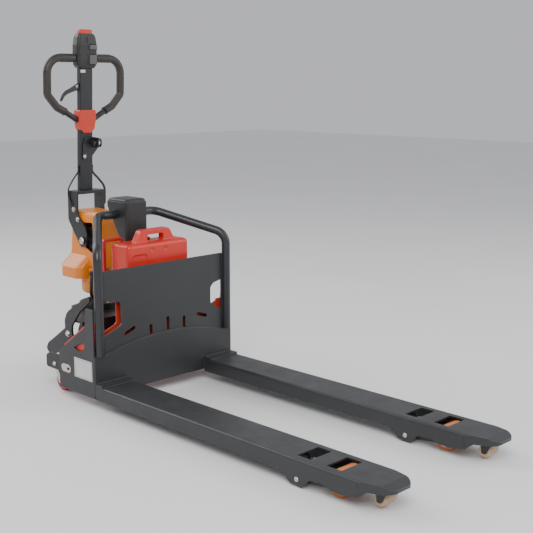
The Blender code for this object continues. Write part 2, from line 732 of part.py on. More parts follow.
# ---- steered drive unit ----
def build_drive_unit(finish, steer, wheel):
    y = STEER_Y
    crown = box((-0.058, y - 0.055, 0.2150), (0.058, y + 0.055, 0.2317))
    neck = rod("Z", (0, y, 0), 0.0450, 0.225, 0.245, 32)
    table = rod("Z", (0, y, 0), 0.072, 0.2403, 0.262, 32)
    cheek = fillet(
        [(y - 0.055, 0.225, 0), (y - 0.030, 0.085, 0.02), (y + 0.030, 0.085, 0.02), (y + 0.055, 0.225, 0)]
    )
    cheeks = [prism(cheek, "X", s * 0.052 - 0.004, s * 0.052 + 0.004) for s in (-1, 1)]
    axle = rod("X", (0, y, WHEEL_R), 0.010, -0.053, 0.053)
    piece("drive_fork", crown, finish["black_steel"], steer, add=[neck, table, *cheeks, axle])

    half = WHEEL_WIDTH / 2
    tyre = [(0.0783, -half), (WHEEL_R - 0.006, -half), (WHEEL_R, -half + 0.008)]
    tyre += [(WHEEL_R, half - 0.008), (WHEEL_R - 0.006, half), (0.0783, half)]
    piece("drive_tyre", lathe(tyre, "X", (0, y, WHEEL_R), 28), finish["rubber"], wheel)
    hub = [(0.0103, -half), (0.030, -half), (0.034, -half + 0.014), (0.064, -half + 0.014), (0.068, -half)]
    hub += [(0.0780, -half), (0.0780, half), (0.068, half), (0.064, half - 0.014), (0.034, half - 0.014)]
    hub += [(0.030, half), (0.0103, half)]
    piece("drive_hub", lathe(hub, "X", (0, y, WHEEL_R), 28), finish["cast"], wheel)

    can = [(0, 0.2623), (0.034, 0.2623), (0.034, 0.298), (0.050, 0.298), (0.058, 0.303), (0.062, 0.313)]
    can += [(0.062, 0.398), (0, 0.398)]
    piece("motor_can", lathe(can, "Z", (0, y, 0), 32), finish["amber"], steer)

    hood = [
        (0.0535, 0.304, 0.512, 0.022, 0.401),
        (0.0535, 0.305, 0.509, 0.022, 0.425),
        (0.0535, 0.307, 0.497, 0.022, 0.515),
        (0.0535, 0.309, 0.492, 0.022, 0.562),
        (0.0490, 0.316, 0.484, 0.024, 0.586),
        (0.0360, 0.338, 0.462, 0.024, 0.606),
    ]
    skirt = [
        (0.100, 0.376, 0.512, 0.034, 0.358),
        (0.100, 0.376, 0.512, 0.034, 0.397),
        (0.050, 0.382, 0.508, 0.020, 0.442),
    ]

    def skin(sections, wall):
        made = []
        for half_x, front, back, radius, z in sections:
            outline = rectangle(
                (wall - half_x, front + wall), (half_x - wall, back - wall), radius - wall / 2, 4
            )
            drop = 0.02 if z == sections[0][4] else wall
            made.append([(x, v, z - (drop if wall else 0)) for x, v in outline])
        return loft(made)

    sight = [(0.350, 0.449, 0.01), (0.350, 0.567, 0.008), (0.402, 0.563, 0.01), (0.443, 0.584, 0.004)]
    sight += [(0.425, 0.505, 0.02), (0.402, 0.471, 0.006)]
    wall = 0.004
    cuts = [skin(hood, wall), skin(skirt, wall), prism(fillet(sight), "X", -1, 1)]
    cuts.append(rod("X", (0, TILT.y, TILT.z), 0.0165, -0.2, 0.2, 24))
    cuts.append(rod("Z", (0, y, 0), 0.0635, 0.3, 0.3995, 32))
    piece("unit_cover", skin(hood, 0.0), finish["amber"], steer, add=[skin(skirt, 0.0)], cut=cuts)

    block = prism(rectangle((-0.042, 0.345), (0.042, 0.445), 0.006), "Z", 0.3983, 0.545)
    bar = rod("X", (0, TILT.y, TILT.z), 0.016, -0.0550, 0.0550, 24)
    bores = []
    for side in (-1, 1):
        depth = sorted((-side * 0.0064, side * 0.02))
        bores.append(rod("X", (side * EAR_X[0], TILT.y, TILT.z), 0.0083, *depth, 16))
    piece("pump_block", block, finish["black_steel"], steer, add=[bar], cut=bores)

    route = [
        (-0.072, 0.338, 0.385), (-0.080, 0.330, 0.350), (-0.078, 0.336, 0.310), (-0.058, 0.358, 0.290),
        (-0.054, 0.362, 0.2640),
    ]
    piece("motor_cable", pipe(curve_through(route, 12), 0.006, sides=8), finish["rubber"], steer)


# ---- tiller ----
def build_clevis(finish, tiller):
    low, high = BRIDGE_Z
    ear = fillet(
        [
            (0.430, high, 0.003),
            (0.432, 0.588, 0.02),
            (0.384, 0.545, 0.010),
            (0.375, 0.520, 0.010),
            (0.382, 0.476, 0.010),
            (0.412, 0.470, 0.008),
            (0.456, 0.523, 0.02),
            (0.490, 0.567, 0.02),
            (0.4875, high, 0.003),
        ]
    )
    joined = []
    for side in (-1, 1):
        low_x, high_x = sorted((side * EAR_X[0], side * EAR_X[1]))
        joined.append(prism(ear, "X", low_x, high_x))
        joined.append(
            rod("X", (side * EAR_X[0], TILT.y, TILT.z), 0.008, *sorted((-side * 0.006, side * 0.006)), 16)
        )
        joined.append(
            rod("X", (side * EAR_X[1], TILT.y, TILT.z), 0.013, *sorted((-side * 0.001, side * 0.006)), 12)
        )
        for y, z in ((0.452, 0.607), (0.428, 0.572)):
            joined.append(
                rod("X", (side * EAR_X[1], y, z), 0.007, *sorted((-side * 0.001, side * 0.004)), 8)
            )
    bridge = box((-EAR_X[1] + GAP, 0.4304, low), (EAR_X[1] - GAP, 0.4871, high))
    piece("tiller_clevis", bridge, finish["black_steel"], tiller, add=joined)


def loop_path():
    """(x, y, z) centre line of the handle's tube, from the right hub socket over the top to the left one."""
    x0, z0 = LOOP_HUB
    half = [(x0, z0), (0.088, 0.284), (0.120, 0.300), (LOOP_X, 0.345), (LOOP_X, LOOP_TOP), (0.0, LOOP_TOP)]
    right = [Vector((-x, 0, z)) for x, z in half]
    left = [Vector((x, 0, z)) for x, z in reversed(half[:-1])]
    corners = right + left
    path = [corners[0]]
    for before, here, after in zip(corners, corners[1:], corners[2:]):
        straight = (before - here).angle(after - here) > math.radians(179)
        if straight:
            path.append(here)
            continue
        radius = 0.055 if here.z > 0.46 else 0.024
        path += round_path([before, here, after], radius, 5 if here.z > 0.46 else 3)[1:-1]
    path.append(corners[-1])
    return path


def build_tiller(finish, tiller, lean, lever, horn, thumb, button, key):
    build_clevis(finish, tiller)
    hx, hy = SHAFT_HALF
    place = dict(local=True)
    shaft = prism(rectangle((-hx, -hy), (hx, hy), 0.003, 2), "Z", -0.006, HEAD_Z[0] - GAP)
    piece("tiller_shaft", shaft, finish["black_steel"], lean, **place)

    path = loop_path()
    piece("handle_loop", pipe(path, LOOP_TUBE_R), finish["black_steel"], lean, **place)
    grip_low, grip_edge = 0.279, HEAD_HALF[0] + 0.004
    for side, label in ((-1, "right"), (1, "left")):
        part = [p for p in path if p.x * side > grip_edge and (p.z > grip_low)]
        ends = Vector((side * grip_edge, 0, LOOP_TOP))
        part = [ends, *part] if side > 0 else [*part, ends]
        sleeve = pipe(part, GRIP_R, LOOP_TUBE_R + 0.0010)
        piece(f"grip_{label}", sleeve, finish["rubber"], lean, **place)

    low, high = HUB_Z
    hub = [
        (0.016, low, 0.006), (0.030, low + 0.014, 0.010), (0.038, low + 0.054, 0.02), (0.0355, high, 0.006)
    ]
    outline = fillet([(-x, z, r) for x, z, r in reversed(hub)] + hub, 5)
    room = [prism(rectangle((-hx - GAP, -hy - GAP), (hx + GAP, hy + GAP), 0.003, 2), "Z", 0.1, 0.4)]
    room += [
        pipe([path[0], path[1]], LOOP_TUBE_R + 0.0004), pipe([path[-2], path[-1]], LOOP_TUBE_R + 0.0004)
    ]
    piece("hub_cover", prism(outline, "Y", -0.019, 0.018), finish["hub_red"], lean, cut=room, **place)

    build_head(finish, lean)
    build_controls(finish, lean, lever, horn, thumb, button, key)
    near = [(-0.0304, 0.0, 0.085), (-0.0304, 0.001, 0.062), (-0.044, 0.012, 0.034), (-0.0600, 0.012, 0.010)]
    near += [
        (-0.0665, 0.010, -0.003), (-0.0665, 0.010, -0.030), (-0.0665, -0.002, -0.050),
        (-0.0665, -0.010, -0.060),
    ]
    far = [(0.0318, 0.0, 0.085), (0.0322, -0.002, 0.060), (0.046, -0.020, 0.035), (0.063, -0.027, 0.012)]
    far += [(0.0682, -0.029, -0.006), (0.0682, -0.030, -0.028), (0.0682, -0.030, -0.060)]
    for label, route, radius in (("right", near, 0.0028), ("left", far, 0.0042)):
        cable = pipe(curve_through(route, 16), radius, sides=6)
        piece(f"tiller_cable_{label}", cable, finish["rubber"], lean, **place)


def build_head(finish, lean):
    hx, hy = HEAD_HALF
    low, high = HEAD_Z
    levels = (
        (0.78, low), (0.94, low + 0.010), (1.0, low + 0.030), (1.0, high - 0.040), (0.90, high - 0.012),
        (0.76, high),
    )
    rings = [
        [(x, y, z) for x, y in rectangle((-hx * s, -hy * s), (hx * s, hy * s), 0.010 * s, 4)]
        for s, z in levels
    ]
    bar = pipe([(-0.1, 0, LOOP_TOP), (0.1, 0, LOOP_TOP)], LOOP_TUBE_R + 0.0004, sides=16)
    pockets = [
        box((0.0055, -hy - 0.01, 0.5055), (0.0385, -hy + 0.004, 0.5245)),
        box((0.0055, -hy - 0.01, 0.4535), (0.0385, -hy + 0.004, 0.4895)),
        prism(rectangle((-0.0285, -0.0115), (0.0285, 0.0115), 0.006), "Z", high - 0.008, high + 0.05),
    ]
    piece("control_head", loft(rings), finish["black_plastic"], lean, cut=[bar, *pockets], local=True)


def build_controls(finish, lean, lever, horn, thumb, button, key):
    hy, top = HEAD_HALF[1], HEAD_Z[1]
    place = dict(local=True)

    def here(solid, parent):
        offset = Vector(parent["local_place"])
        bmesh.ops.translate(solid, vec=-offset, verts=solid.verts)
        return solid

    cap = loft(
        [
            [
                (x, y, z)
                for x, y in rectangle((s - 0.028, s - 0.011), (0.028 - s, 0.011 - s), 0.0055 - s / 2, 3)
            ]
            for s, z in (
                (0.0, top - 0.001), (0.0, top + 0.010), (0.003, top + 0.0145), (0.007, top + 0.016)
            )
        ]
    )
    piece("belly_button", here(cap, button), finish["hub_red"], button, **place)
    for name, parent, z0, z1 in (("horn_button", horn, 0.506, 0.524), ("lift_button", thumb, 0.454, 0.489)):
        key_cap = loft(
            [
                [(x, y, z) for x, z in rectangle((0.006 + s, z0 + s), (0.038 - s, z1 - s), 0.002, 2)]
                for s, y in ((0.0, 0.0015 - hy), (0.0, -0.003 - hy), (0.0025, -0.0055 - hy))
            ]
        )
        piece(name, here(key_cap, parent), finish["grey_plastic"], parent, **place)

    hx = SHAFT_HALF[0]
    lever_x = (-hx - 0.0075, -hx - 0.0010)
    blade = [
        (-0.006, 0.388), (0.002, 0.385), (0.040, 0.368), (0.078, 0.353), (0.097, 0.338), (0.1125, 0.317)
    ]
    under = [
        (0.1065, 0.3125), (0.0985, 0.320), (0.087, 0.332), (0.056, 0.3455), (0.004, 0.360), (-0.007, 0.366)
    ]
    piece(
        "lowering_lever",
        here(prism(blade + under, "X", *lever_x), lever),
        finish["black_plastic"],
        lever,
        **place,
    )

    plate_y = (-SHAFT_HALF[1] - 0.0043, -SHAFT_HALF[1] - GAP)
    outline = [(-0.020, 0.108, 0.006), (0.010, 0.108, 0.004), (0.045, 0.146, 0.003), (0.038, 0.156, 0.003)]
    outline += [
        (0.028, 0.156, 0.002), (0.028, 0.190, 0.003), (-0.010, 0.190, 0.006), (-0.020, 0.160, 0.006)
    ]
    tab = box((0.024, -0.050, 0.153), (0.028, plate_y[0] + 0.001, 0.190))
    barrel = rod("X", (0, -0.034, 0.170), 0.010, 0.010, 0.038, 20)
    bracket = prism(fillet(outline), "Y", *plate_y)
    piece("key_bracket", bracket, finish["black_steel"], lean, add=[tab, barrel], **place)
    bow = prism(capsule((-0.034, 0.164), (-0.034, 0.176), 0.010, 8), "X", 0.0420, 0.0450)
    blade = box((0.0383, -0.037, 0.1655), (0.0430, -0.031, 0.1745))
    piece("ignition_key", here(bow, key), finish["black_plastic"], key, add=[here(blade, key)], **place)


def main():
    clear_scene()
    finish = {
        "charcoal": material("charcoal_paint", (0.045, 0.047, 0.051), 0.45),
        "black_steel": material("black_paint", (0.022, 0.023, 0.025), 0.45),
        "black_plastic": material("black_plastic", (0.020, 0.020, 0.022), 0.55),
        "grey_plastic": material("grey_plastic", (0.10, 0.10, 0.11), 0.55),
        "red": material("battery_red", (0.66, 0.045, 0.018), 0.42),
        "dark_red": material("dark_red", (0.36, 0.015, 0.015), 0.45),
        "hub_red": material("signal_red", (0.60, 0.055, 0.018), 0.45),
        "amber": material("amber_cover", (0.80, 0.30, 0.025), 0.40),
        "orange": material("orange_polyurethane", (0.62, 0.19, 0.035), 0.45),
        "tan": material("tan_nylon", (0.50, 0.36, 0.22), 0.50),
        "rubber": material("black_rubber", (0.014, 0.014, 0.015), 0.75),
        "zinc": material("zinc_plated", (0.62, 0.60, 0.54), 0.32, 1.0),
        "chrome": material("chromed_rod", (0.75, 0.75, 0.76), 0.12, 1.0),
        "cast": material("cast_hub", (0.16, 0.16, 0.17), 0.55, 0.6),
    }
    frame = pivot("drive_frame_origin", (0, 0, 0))
    frame.location = (0, ORIGIN_SHIFT, 0)
    chassis = pivot("lift_axis", (0, 0, 0), frame)
    battery = pivot("battery_slide_axis", (BATTERY_X, 0.0985, 0.352), chassis)
    bail = pivot("bail_axis", (-0.104, BAIL_Y, 0.409), chassis)
    crank = pivot("crank_axis", CRANK, chassis)
    sides = (-1, 1)
    rods = {s: pivot(f"rod_axis_{s}", (FORK_X * s, -0.36, ROD_Z), chassis) for s in sides}
    at = {s: (FORK_X * s, BRACKET_AXLE.y, BRACKET_AXLE.z) for s in sides}
    brackets = {s: pivot(f"bracket_axis_{s}", at[s], chassis) for s in sides}
    at = {s: (FORK_X * s, LOAD_ROLLER.y, LOAD_ROLLER.z) for s in sides}
    rollers = {s: pivot(f"roller_axis_{s}", at[s], brackets[s]) for s in sides}
    at = {s: (FORK_X * s, ENTRY_ROLLER.y, ENTRY_ROLLER.z) for s in sides}
    entries = {s: pivot(f"entry_axis_{s}", at[s], chassis) for s in sides}
    castors = {s: pivot(f"castor_axis_{s}", mirrored(CASTOR, s), frame) for s in sides}
    drop = Vector((0, -CASTOR_TRAIL, CASTOR_R))
    castor_wheels = {
        s: pivot(f"castor_wheel_axis_{s}", mirrored(CASTOR, s) + drop, castors[s])
        for s in sides
    }
    steer = pivot("steer_axis", (0, STEER_Y, 0), frame)
    wheel = pivot("drive_wheel_axis", (0, STEER_Y, WHEEL_R), steer)
    tiller = pivot("tilt_axis", TILT, steer)
    lean = pivot("shaft_foot", SHAFT_FOOT, tiller, LEAN)

    def control(name, local):
        empty = bpy.data.objects.new(name, None)
        bpy.context.collection.objects.link(empty)
        empty.empty_display_size = 0.02
        empty.parent = lean
        empty.location = local
        empty["local_place"] = list(local)
        return empty

    button = control("belly_button_axis", (0, 0, HEAD_Z[1]))
    horn = control("horn_button_axis", (0.022, -HEAD_HALF[1], 0.515))
    thumb = control("lift_button_axis", (0.022, -HEAD_HALF[1], 0.4715))
    lever = control("lever_axis", (-SHAFT_HALF[0] - 0.004, 0.0, 0.374))
    key = control("key_axis", (0.0435, -0.034, 0.170))

    build_chassis(finish, chassis)
    build_housing(finish, chassis)
    build_battery(finish, battery, bail)
    build_lift(finish, chassis, frame, crank, rods, brackets, rollers)
    build_entry_rollers(finish, entries)
    build_drive_frame(finish, frame, castors, castor_wheels)
    build_drive_unit(finish, steer, wheel)
    build_tiller(finish, tiller, lean, lever, horn, thumb, button, key)


main()
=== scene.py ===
"""Looks of a powered pallet jack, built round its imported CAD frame. Lengths are metres.

Assembly places are measured from the front face of the bulkhead, on the floor, at mid width: HERE moves
them into the frame. Shaft places are measured from the foot of the tiller's shaft: SHAFT moves those.
Right is the side of -X and left the side of +X, as the operator sees it, who faces the forks.
"""

import math

import bmesh
import bpy
from mathutils import Matrix, Vector


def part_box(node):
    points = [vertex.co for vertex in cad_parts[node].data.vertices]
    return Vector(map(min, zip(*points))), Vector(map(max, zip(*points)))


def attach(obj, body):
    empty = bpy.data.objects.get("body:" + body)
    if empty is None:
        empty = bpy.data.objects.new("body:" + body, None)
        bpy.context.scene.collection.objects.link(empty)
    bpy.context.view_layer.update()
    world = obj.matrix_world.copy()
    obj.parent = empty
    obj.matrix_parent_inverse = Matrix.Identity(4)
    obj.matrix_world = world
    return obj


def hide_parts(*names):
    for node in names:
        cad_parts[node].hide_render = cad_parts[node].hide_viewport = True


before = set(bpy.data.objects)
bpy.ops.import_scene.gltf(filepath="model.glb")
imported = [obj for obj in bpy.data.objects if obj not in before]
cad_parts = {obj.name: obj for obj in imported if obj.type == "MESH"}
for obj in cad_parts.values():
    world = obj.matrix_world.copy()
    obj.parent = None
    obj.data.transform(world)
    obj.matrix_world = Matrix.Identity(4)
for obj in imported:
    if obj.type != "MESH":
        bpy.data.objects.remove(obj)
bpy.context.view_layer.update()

# ---- driving dimensions ----
HERE = Matrix.Translation((0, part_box("bulkhead")[0].y, 0))
LEAN = math.radians(3.0)
SHAFT = HERE @ Matrix.Translation((0, 0.466, 0.682)) @ Matrix.Rotation(LEAN, 4, "X")
SIDES = ((-1, "right"), (1, "left"))

WIDTH = 0.612
FORK_LENGTH = 1.22
FORK_WIDTH = 0.134
FORK_TOP = 0.0795
FORK_BOTTOM = 0.033
FORK_X = WIDTH / 2 - FORK_WIDTH / 2
SHEET = 0.005
BRACKET_AXLE = Vector((0, -0.911, 0.022))
LOAD_ROLLER = Vector((0, -1.034, 0.037))
ROD_PIN = Vector((0, -0.905, 0.055))
ENTRY_ROLLER = Vector((0, -1.163, 0.029))
ENTRY_R = 0.018
HOLE_HALF_WIDTH = 0.0425
HOLES_Y = ((-0.942, -0.892), (-1.050, -0.9975))
BULKHEAD_TOP = 0.178
BULKHEAD_RISE = 0.036
HOOP_R = 0.0155
HOOP_X = 0.2835
HOOP_BAR = Vector((0.125, 0.214, 0.61))
STEER_Y = 0.40
WHEEL_R = 0.105
WHEEL_WIDTH = 0.070
CYLINDER_Y = 0.185
CASTOR = Vector((0.250, 0.262, 0.036))
TILT = Vector((0, 0.400, 0.4965))
EAR_X = 0.0625
BATTERY_X = 0.012
BATTERY_HALF = 0.135
BAIL_Y = 0.160
SHAFT_HALF = (0.0270, 0.0120)
HEAD_Z = (0.440, 0.562)
HEAD_HALF = (0.0430, 0.0210)
LOOP_TUBE_R = 0.0105
GRIP_R = 0.0155
LOOP_X = 0.160
LOOP_TOP = 0.475
LOOP_HUB = (0.0330, 0.252)
HUB_Z = (0.206, 0.290)

CAMERA_AT = HERE @ Vector((-2.1418, -2.6331, 1.0713))
CAMERA_AIM = HERE @ Vector((0.1439, -0.3500, 0.4708))
CAMERA_LENS = 67.04
LIGHT_AIM = HERE @ Vector((0.0, -0.213, 0.4))


# ---- materials ----
class Nodes:
    """Short hand for one material's node tree."""

    def __init__(self, name):
        self.material = bpy.data.materials.new(name)
        self.material.use_nodes = True
        self.tree = self.material.node_tree
        self.shader = self.tree.nodes["Principled BSDF"]

    def add(self, kind, **settings):
        node = self.tree.nodes.new(kind)
        for key, value in settings.items():
            setattr(node, key, value)
        return node

    def join(self, source, target):
        self.tree.links.new(source, target)

    def place(self, scale=(1, 1, 1)):
        """Position on the piece, stretched."""
        at = self.add("ShaderNodeTexCoord")
        mapping = self.add("ShaderNodeMapping")
        mapping.inputs["Scale"].default_value = scale
        self.join(at.outputs["Object"], mapping.inputs["Vector"])
        return mapping.outputs["Vector"]

    def noise(self, scale, detail=4.0, where=None, rough=0.55):
        node = self.add("ShaderNodeTexNoise")
        node.inputs["Scale"].default_value = scale
        node.inputs["Detail"].default_value = detail
        node.inputs["Roughness"].default_value = rough
        self.join(where or self.place(), node.inputs["Vector"])
        return node.outputs["Fac"]

    def span(self, value, low, high, out_low=0.0, out_high=1.0):
        node = self.add("ShaderNodeMapRange")
        for key, number in (
            ("From Min", low), ("From Max", high), ("To Min", out_low), ("To Max", out_high)
        ):
            node.inputs[key].default_value = number
        self.join(value, node.inputs["Value"])
        return node.outputs["Result"]

    def math(self, operation, first, second):
        node = self.add("ShaderNodeMath", operation=operation)
        for slot, value in enumerate((first, second)):
            if isinstance(value, (int, float)):
                node.inputs[slot].default_value = value
            else:
                self.join(value, node.inputs[slot])
        return node.outputs[0]

    def mix(self, share, first, second):
        node = self.add("ShaderNodeMix", data_type="RGBA")
        self.join(share, node.inputs["Factor"])
        for key, value in ((6, first), (7, second)):
            if isinstance(value, tuple):
                node.inputs[key].default_value = (*value, 1.0)
            else:
                self.join(value, node.inputs[key])
        return node.outputs[2]

    def edges(self, radius=0.0022):
        """1 along the sharp outer edges and 0 on flats."""
        soft = self.add("ShaderNodeBevel", samples=6)
        soft.inputs["Radius"].default_value = radius
        true = self.add("ShaderNodeNewGeometry")
        dot = self.add("ShaderNodeVectorMath", operation="DOT_PRODUCT")
        self.join(soft.outputs["Normal"], dot.inputs[0])
        self.join(true.outputs["Normal"], dot.inputs[1])
        return self.span(dot.outputs["Value"], 0.995, 0.90)

    def bump(self, height, strength, distance, after=None):
        node = self.add("ShaderNodeBump")
        node.inputs["Strength"].default_value = strength
        node.inputs["Distance"].default_value = distance
        self.join(height, node.inputs["Height"])
        if after:
            self.join(after, node.inputs["Normal"])
        return node.outputs["Normal"]


def shaded(colour, factor):
    return tuple(min(1.0, part * factor) for part in colour)


def finish(
    name,
    colour,
    roughness,
    metallic=0.0,
    spread=0.10,
    patch=9.0,
    grain=(1400.0, 0.10),
    wave=(60.0, 0.04),
    wear_and_painted_sheen=0.0,
    worn_colour=(0.35, 0.35, 0.34),
    scratches=0.0,
    dust=0.0,
    coat=0.0,
    brushed=None,
):
    """Material with patchy colour, fine grain, worn edges, scratches, and dust on what faces up."""
    n = Nodes(name)
    patches = n.noise(patch, 6.0)
    tone = n.mix(n.span(patches, 0.3, 0.7), shaded(colour, 1 - spread), shaded(colour, 1 + spread))
    rough = n.span(n.noise(patch * 3, 5.0), 0.3, 0.7, roughness * 0.86, roughness * 1.14)
    if scratches:
        fine = n.noise(1.0, 2.0, n.place((420, 26, 300)))
        cross = n.noise(1.0, 2.0, n.place((30, 380, 260)))
        lines = n.math("MAXIMUM", n.span(fine, 0.70, 0.76), n.span(cross, 0.71, 0.77))
        lines = n.math("MULTIPLY", lines, n.span(n.noise(7.0, 3.0), 0.48, 0.66, 0.0, scratches))
        tone = n.mix(lines, tone, shaded(worn_colour, 0.75))
    if wear_and_painted_sheen:
        chipped = n.math("MULTIPLY", n.edges(), n.span(n.noise(120.0, 5.0), 0.44, 0.62, 0.0, wear_and_painted_sheen))
        tone = n.mix(chipped, tone, worn_colour)
    if dust:
        up = n.add("ShaderNodeNewGeometry")
        split = n.add("ShaderNodeSeparateXYZ")
        n.join(up.outputs["Normal"], split.inputs[0])
        lies = n.math(
            "MULTIPLY",
            n.span(split.outputs["Z"], 0.5, 1.0),
            n.span(n.noise(24.0, 7.0), 0.25, 0.8, 0.0, dust),
        )
        tone = n.mix(lies, tone, (0.30, 0.31, 0.33))
        rough = n.math("ADD", rough, n.math("MULTIPLY", lies, 0.25))
    height = n.noise(grain[0], 3.0)
    if brushed:
        height = n.noise(1.0, 4.0, n.place(brushed))
        rough = n.math("ADD", rough, n.span(height, 0.3, 0.7, -0.05, 0.08))
    normal = n.bump(n.noise(wave[0], 2.0), wave[1], 0.002)
    normal = n.bump(height, grain[1], 0.0004, normal)
    n.join(tone, n.shader.inputs["Base Color"])
    n.join(rough, n.shader.inputs["Roughness"])
    n.join(normal, n.shader.inputs["Normal"])
    n.shader.inputs["Metallic"].default_value = metallic
    n.shader.inputs["Coat Weight"].default_value = coat
    n.shader.inputs["Coat Roughness"].default_value = 0.25
    return n.material


def leathery_rubber(name, colour, roughness, pebble):
    """Moulded rubber with a pebbled skin, as on hand grips, with painted shade on its pebbles and a painted
    sheen in patches.
    """
    n = Nodes(name)
    cells = n.add("ShaderNodeTexVoronoi", feature="SMOOTH_F1")
    cells.inputs["Scale"].default_value = pebble
    n.join(n.place(), cells.inputs["Vector"])
    hollow = n.span(cells.outputs["Distance"], 0.1, 0.6)
    # Patches where the grip is painted a lighter brown, a painted sheen; the same patches are also made
    # less rough.
    wear_and_painted_sheen = n.span(n.noise(30.0, 5.0), 0.35, 0.7)
    # The colour is painted darker where hollow is high and lighter where it is low: painted shade and
    # painted highlight on the pebbles, whose bump uses the same map.
    tone = n.mix(hollow, shaded(colour, 1.25), shaded(colour, 0.75))
    tone = n.mix(n.math("MULTIPLY", wear_and_painted_sheen, 0.5), tone, shaded((1.5, 1.15, 1.0), colour[0]))
    n.join(tone, n.shader.inputs["Base Color"])
    n.join(n.span(wear_and_painted_sheen, 0.0, 1.0, roughness * 1.1, roughness * 0.8), n.shader.inputs["Roughness"])
    n.join(n.bump(hollow, 0.35, 0.0004), n.shader.inputs["Normal"])
    return n.material


def make_looks():
    steel = (0.42, 0.42, 0.41)
    return {
        "charcoal_paint": finish(
            "charcoal_paint", (0.026, 0.027, 0.029), 0.42, spread=0.10, patch=5.0, grain=(900.0, 0.09),
            wave=(45.0, 0.05), wear_and_painted_sheen=0.30, worn_colour=(0.20, 0.20, 0.205), scratches=0.45, dust=0.06,
        ),
        "black_paint": finish(
            "black_paint", (0.013, 0.0135, 0.015), 0.38, grain=(1100.0, 0.08), wear_and_painted_sheen=0.35,
            worn_colour=(0.15, 0.15, 0.15), dust=0.04,
        ),
        "hoop_paint": finish(
            "hoop_paint", (0.018, 0.020, 0.023), 0.34, grain=(1100.0, 0.06), wave=(30.0, 0.04), dust=0.03,
            coat=0.08,
        ),
        "black_plastic": finish(
            "black_plastic", (0.014, 0.014, 0.015), 0.42, grain=(2200.0, 0.22), spread=0.08, dust=0.03
        ),
        "grey_plastic": finish("grey_plastic", (0.085, 0.083, 0.080), 0.50, grain=(2200.0, 0.20)),
        "battery_red": finish(
            "battery_red", (0.60, 0.022, 0.010), 0.36, spread=0.07, grain=(1800.0, 0.10), wave=(38.0, 0.05),
            wear_and_painted_sheen=0.25, worn_colour=(0.70, 0.12, 0.07), coat=0.10,
        ),
        "frame_red": finish(
            "frame_red", (0.58, 0.045, 0.022), 0.45, grain=(900.0, 0.08), wear_and_painted_sheen=0.4,
            worn_colour=(0.30, 0.10, 0.08), dust=0.12,
        ),
        "dark_red": finish(
            "dark_red", (0.42, 0.012, 0.014), 0.36, spread=0.08, grain=(1500.0, 0.08), coat=0.15
        ),
        "signal_red": finish(
            "signal_red", (0.56, 0.030, 0.010), 0.42, spread=0.07, grain=(1600.0, 0.14), coat=0.10
        ),
        "amber": finish(
            "amber", (0.72, 0.205, 0.006), 0.34, spread=0.06, grain=(1500.0, 0.08), wave=(26.0, 0.05),
            coat=0.12,
        ),
        "orange_pu": finish(
            "orange_pu", (0.60, 0.16, 0.028), 0.34, spread=0.12, grain=(900.0, 0.10), scratches=0.25,
            worn_colour=(0.30, 0.16, 0.08), coat=0.20,
        ),
        "tan_nylon": finish("tan_nylon", (0.50, 0.35, 0.20), 0.42, spread=0.10, grain=(900.0, 0.12)),
        "rubber": finish(
            "rubber", (0.017, 0.017, 0.018), 0.62, spread=0.18, grain=(1700.0, 0.30), dust=0.18
        ),
        "grip": leathery_rubber("grip_rubber", (0.026, 0.023, 0.021), 0.50, 700.0),
        "tyre": finish("tyre", (0.018, 0.018, 0.019), 0.70, spread=0.25, grain=(700.0, 0.40), scratches=0.3,
                       worn_colour=(0.08, 0.08, 0.08)),
        "zinc": finish(
            "zinc", (0.60, 0.57, 0.50), 0.30, 1.0, spread=0.16, patch=140.0, grain=(700.0, 0.20)
        ),
        "chrome": finish("chrome", (0.78, 0.78, 0.79), 0.10, 1.0, spread=0.03, brushed=(60, 60, 900)),
        "cast": finish("cast", (0.20, 0.20, 0.21), 0.52, 0.7, spread=0.20, patch=30.0, grain=(420.0, 0.55),
                       wear_and_painted_sheen=0.5, worn_colour=steel),
        "brass": finish(
            "brass", (0.72, 0.52, 0.22), 0.28, 1.0, spread=0.12, patch=90.0, grain=(900.0, 0.15)
        ),
        "plate": finish(
            "plate", (0.62, 0.63, 0.61), 0.38, 0.35, spread=0.05, patch=40.0, brushed=(900, 40, 900)
        ),
    }


LOOKS = make_looks()


# ---- outlines ----
def fillet(corners, steps=10):
    """Closed outline from (u, v, radius) corners, each turned into an arc of its radius."""
    outline = []
    for i, (u, v, radius) in enumerate(corners):
        here = Vector((u, v))
        before = (Vector(corners[i - 1][:2]) - here).normalized()
        after = (Vector(corners[(i + 1) % len(corners)][:2]) - here).normalized()
        if not radius:
            outline.append((u, v))
            continue
        half = before.angle(after) / 2
        centre = here + (before + after).normalized() * radius / math.sin(half)
        first = here + before * radius / math.tan(half) - centre
        last = here + after * radius / math.tan(half) - centre
        start = math.atan2(first.y, first.x)
        turn = (math.atan2(last.y, last.x) - start + math.pi) % math.tau - math.pi
        for step in range(steps + 1):
            angle = start + turn * step / steps
            outline.append((centre.x + radius * math.cos(angle), centre.y + radius * math.sin(angle)))
    return outline


def rectangle(low, high, radius=0.0, steps=8):
    (a, b), (c, d) = low, high
    return fillet([(a, b, radius), (c, b, radius), (c, d, radius), (a, d, radius)], steps)


def capsule(first, last, radius, steps=16):
    """Outline of a round-ended bar between two points."""
    first, last = Vector(first), Vector(last)
    heading = math.atan2(last.y - first.y, last.x - first.x)
    outline = []
    for centre, start in ((last, heading - math.pi / 2), (first, heading + math.pi / 2)):
        for step in range(steps + 1):
            angle = start + math.pi * step / steps
            outline.append((centre.x + radius * math.cos(angle), centre.y + radius * math.sin(angle)))
    return outline


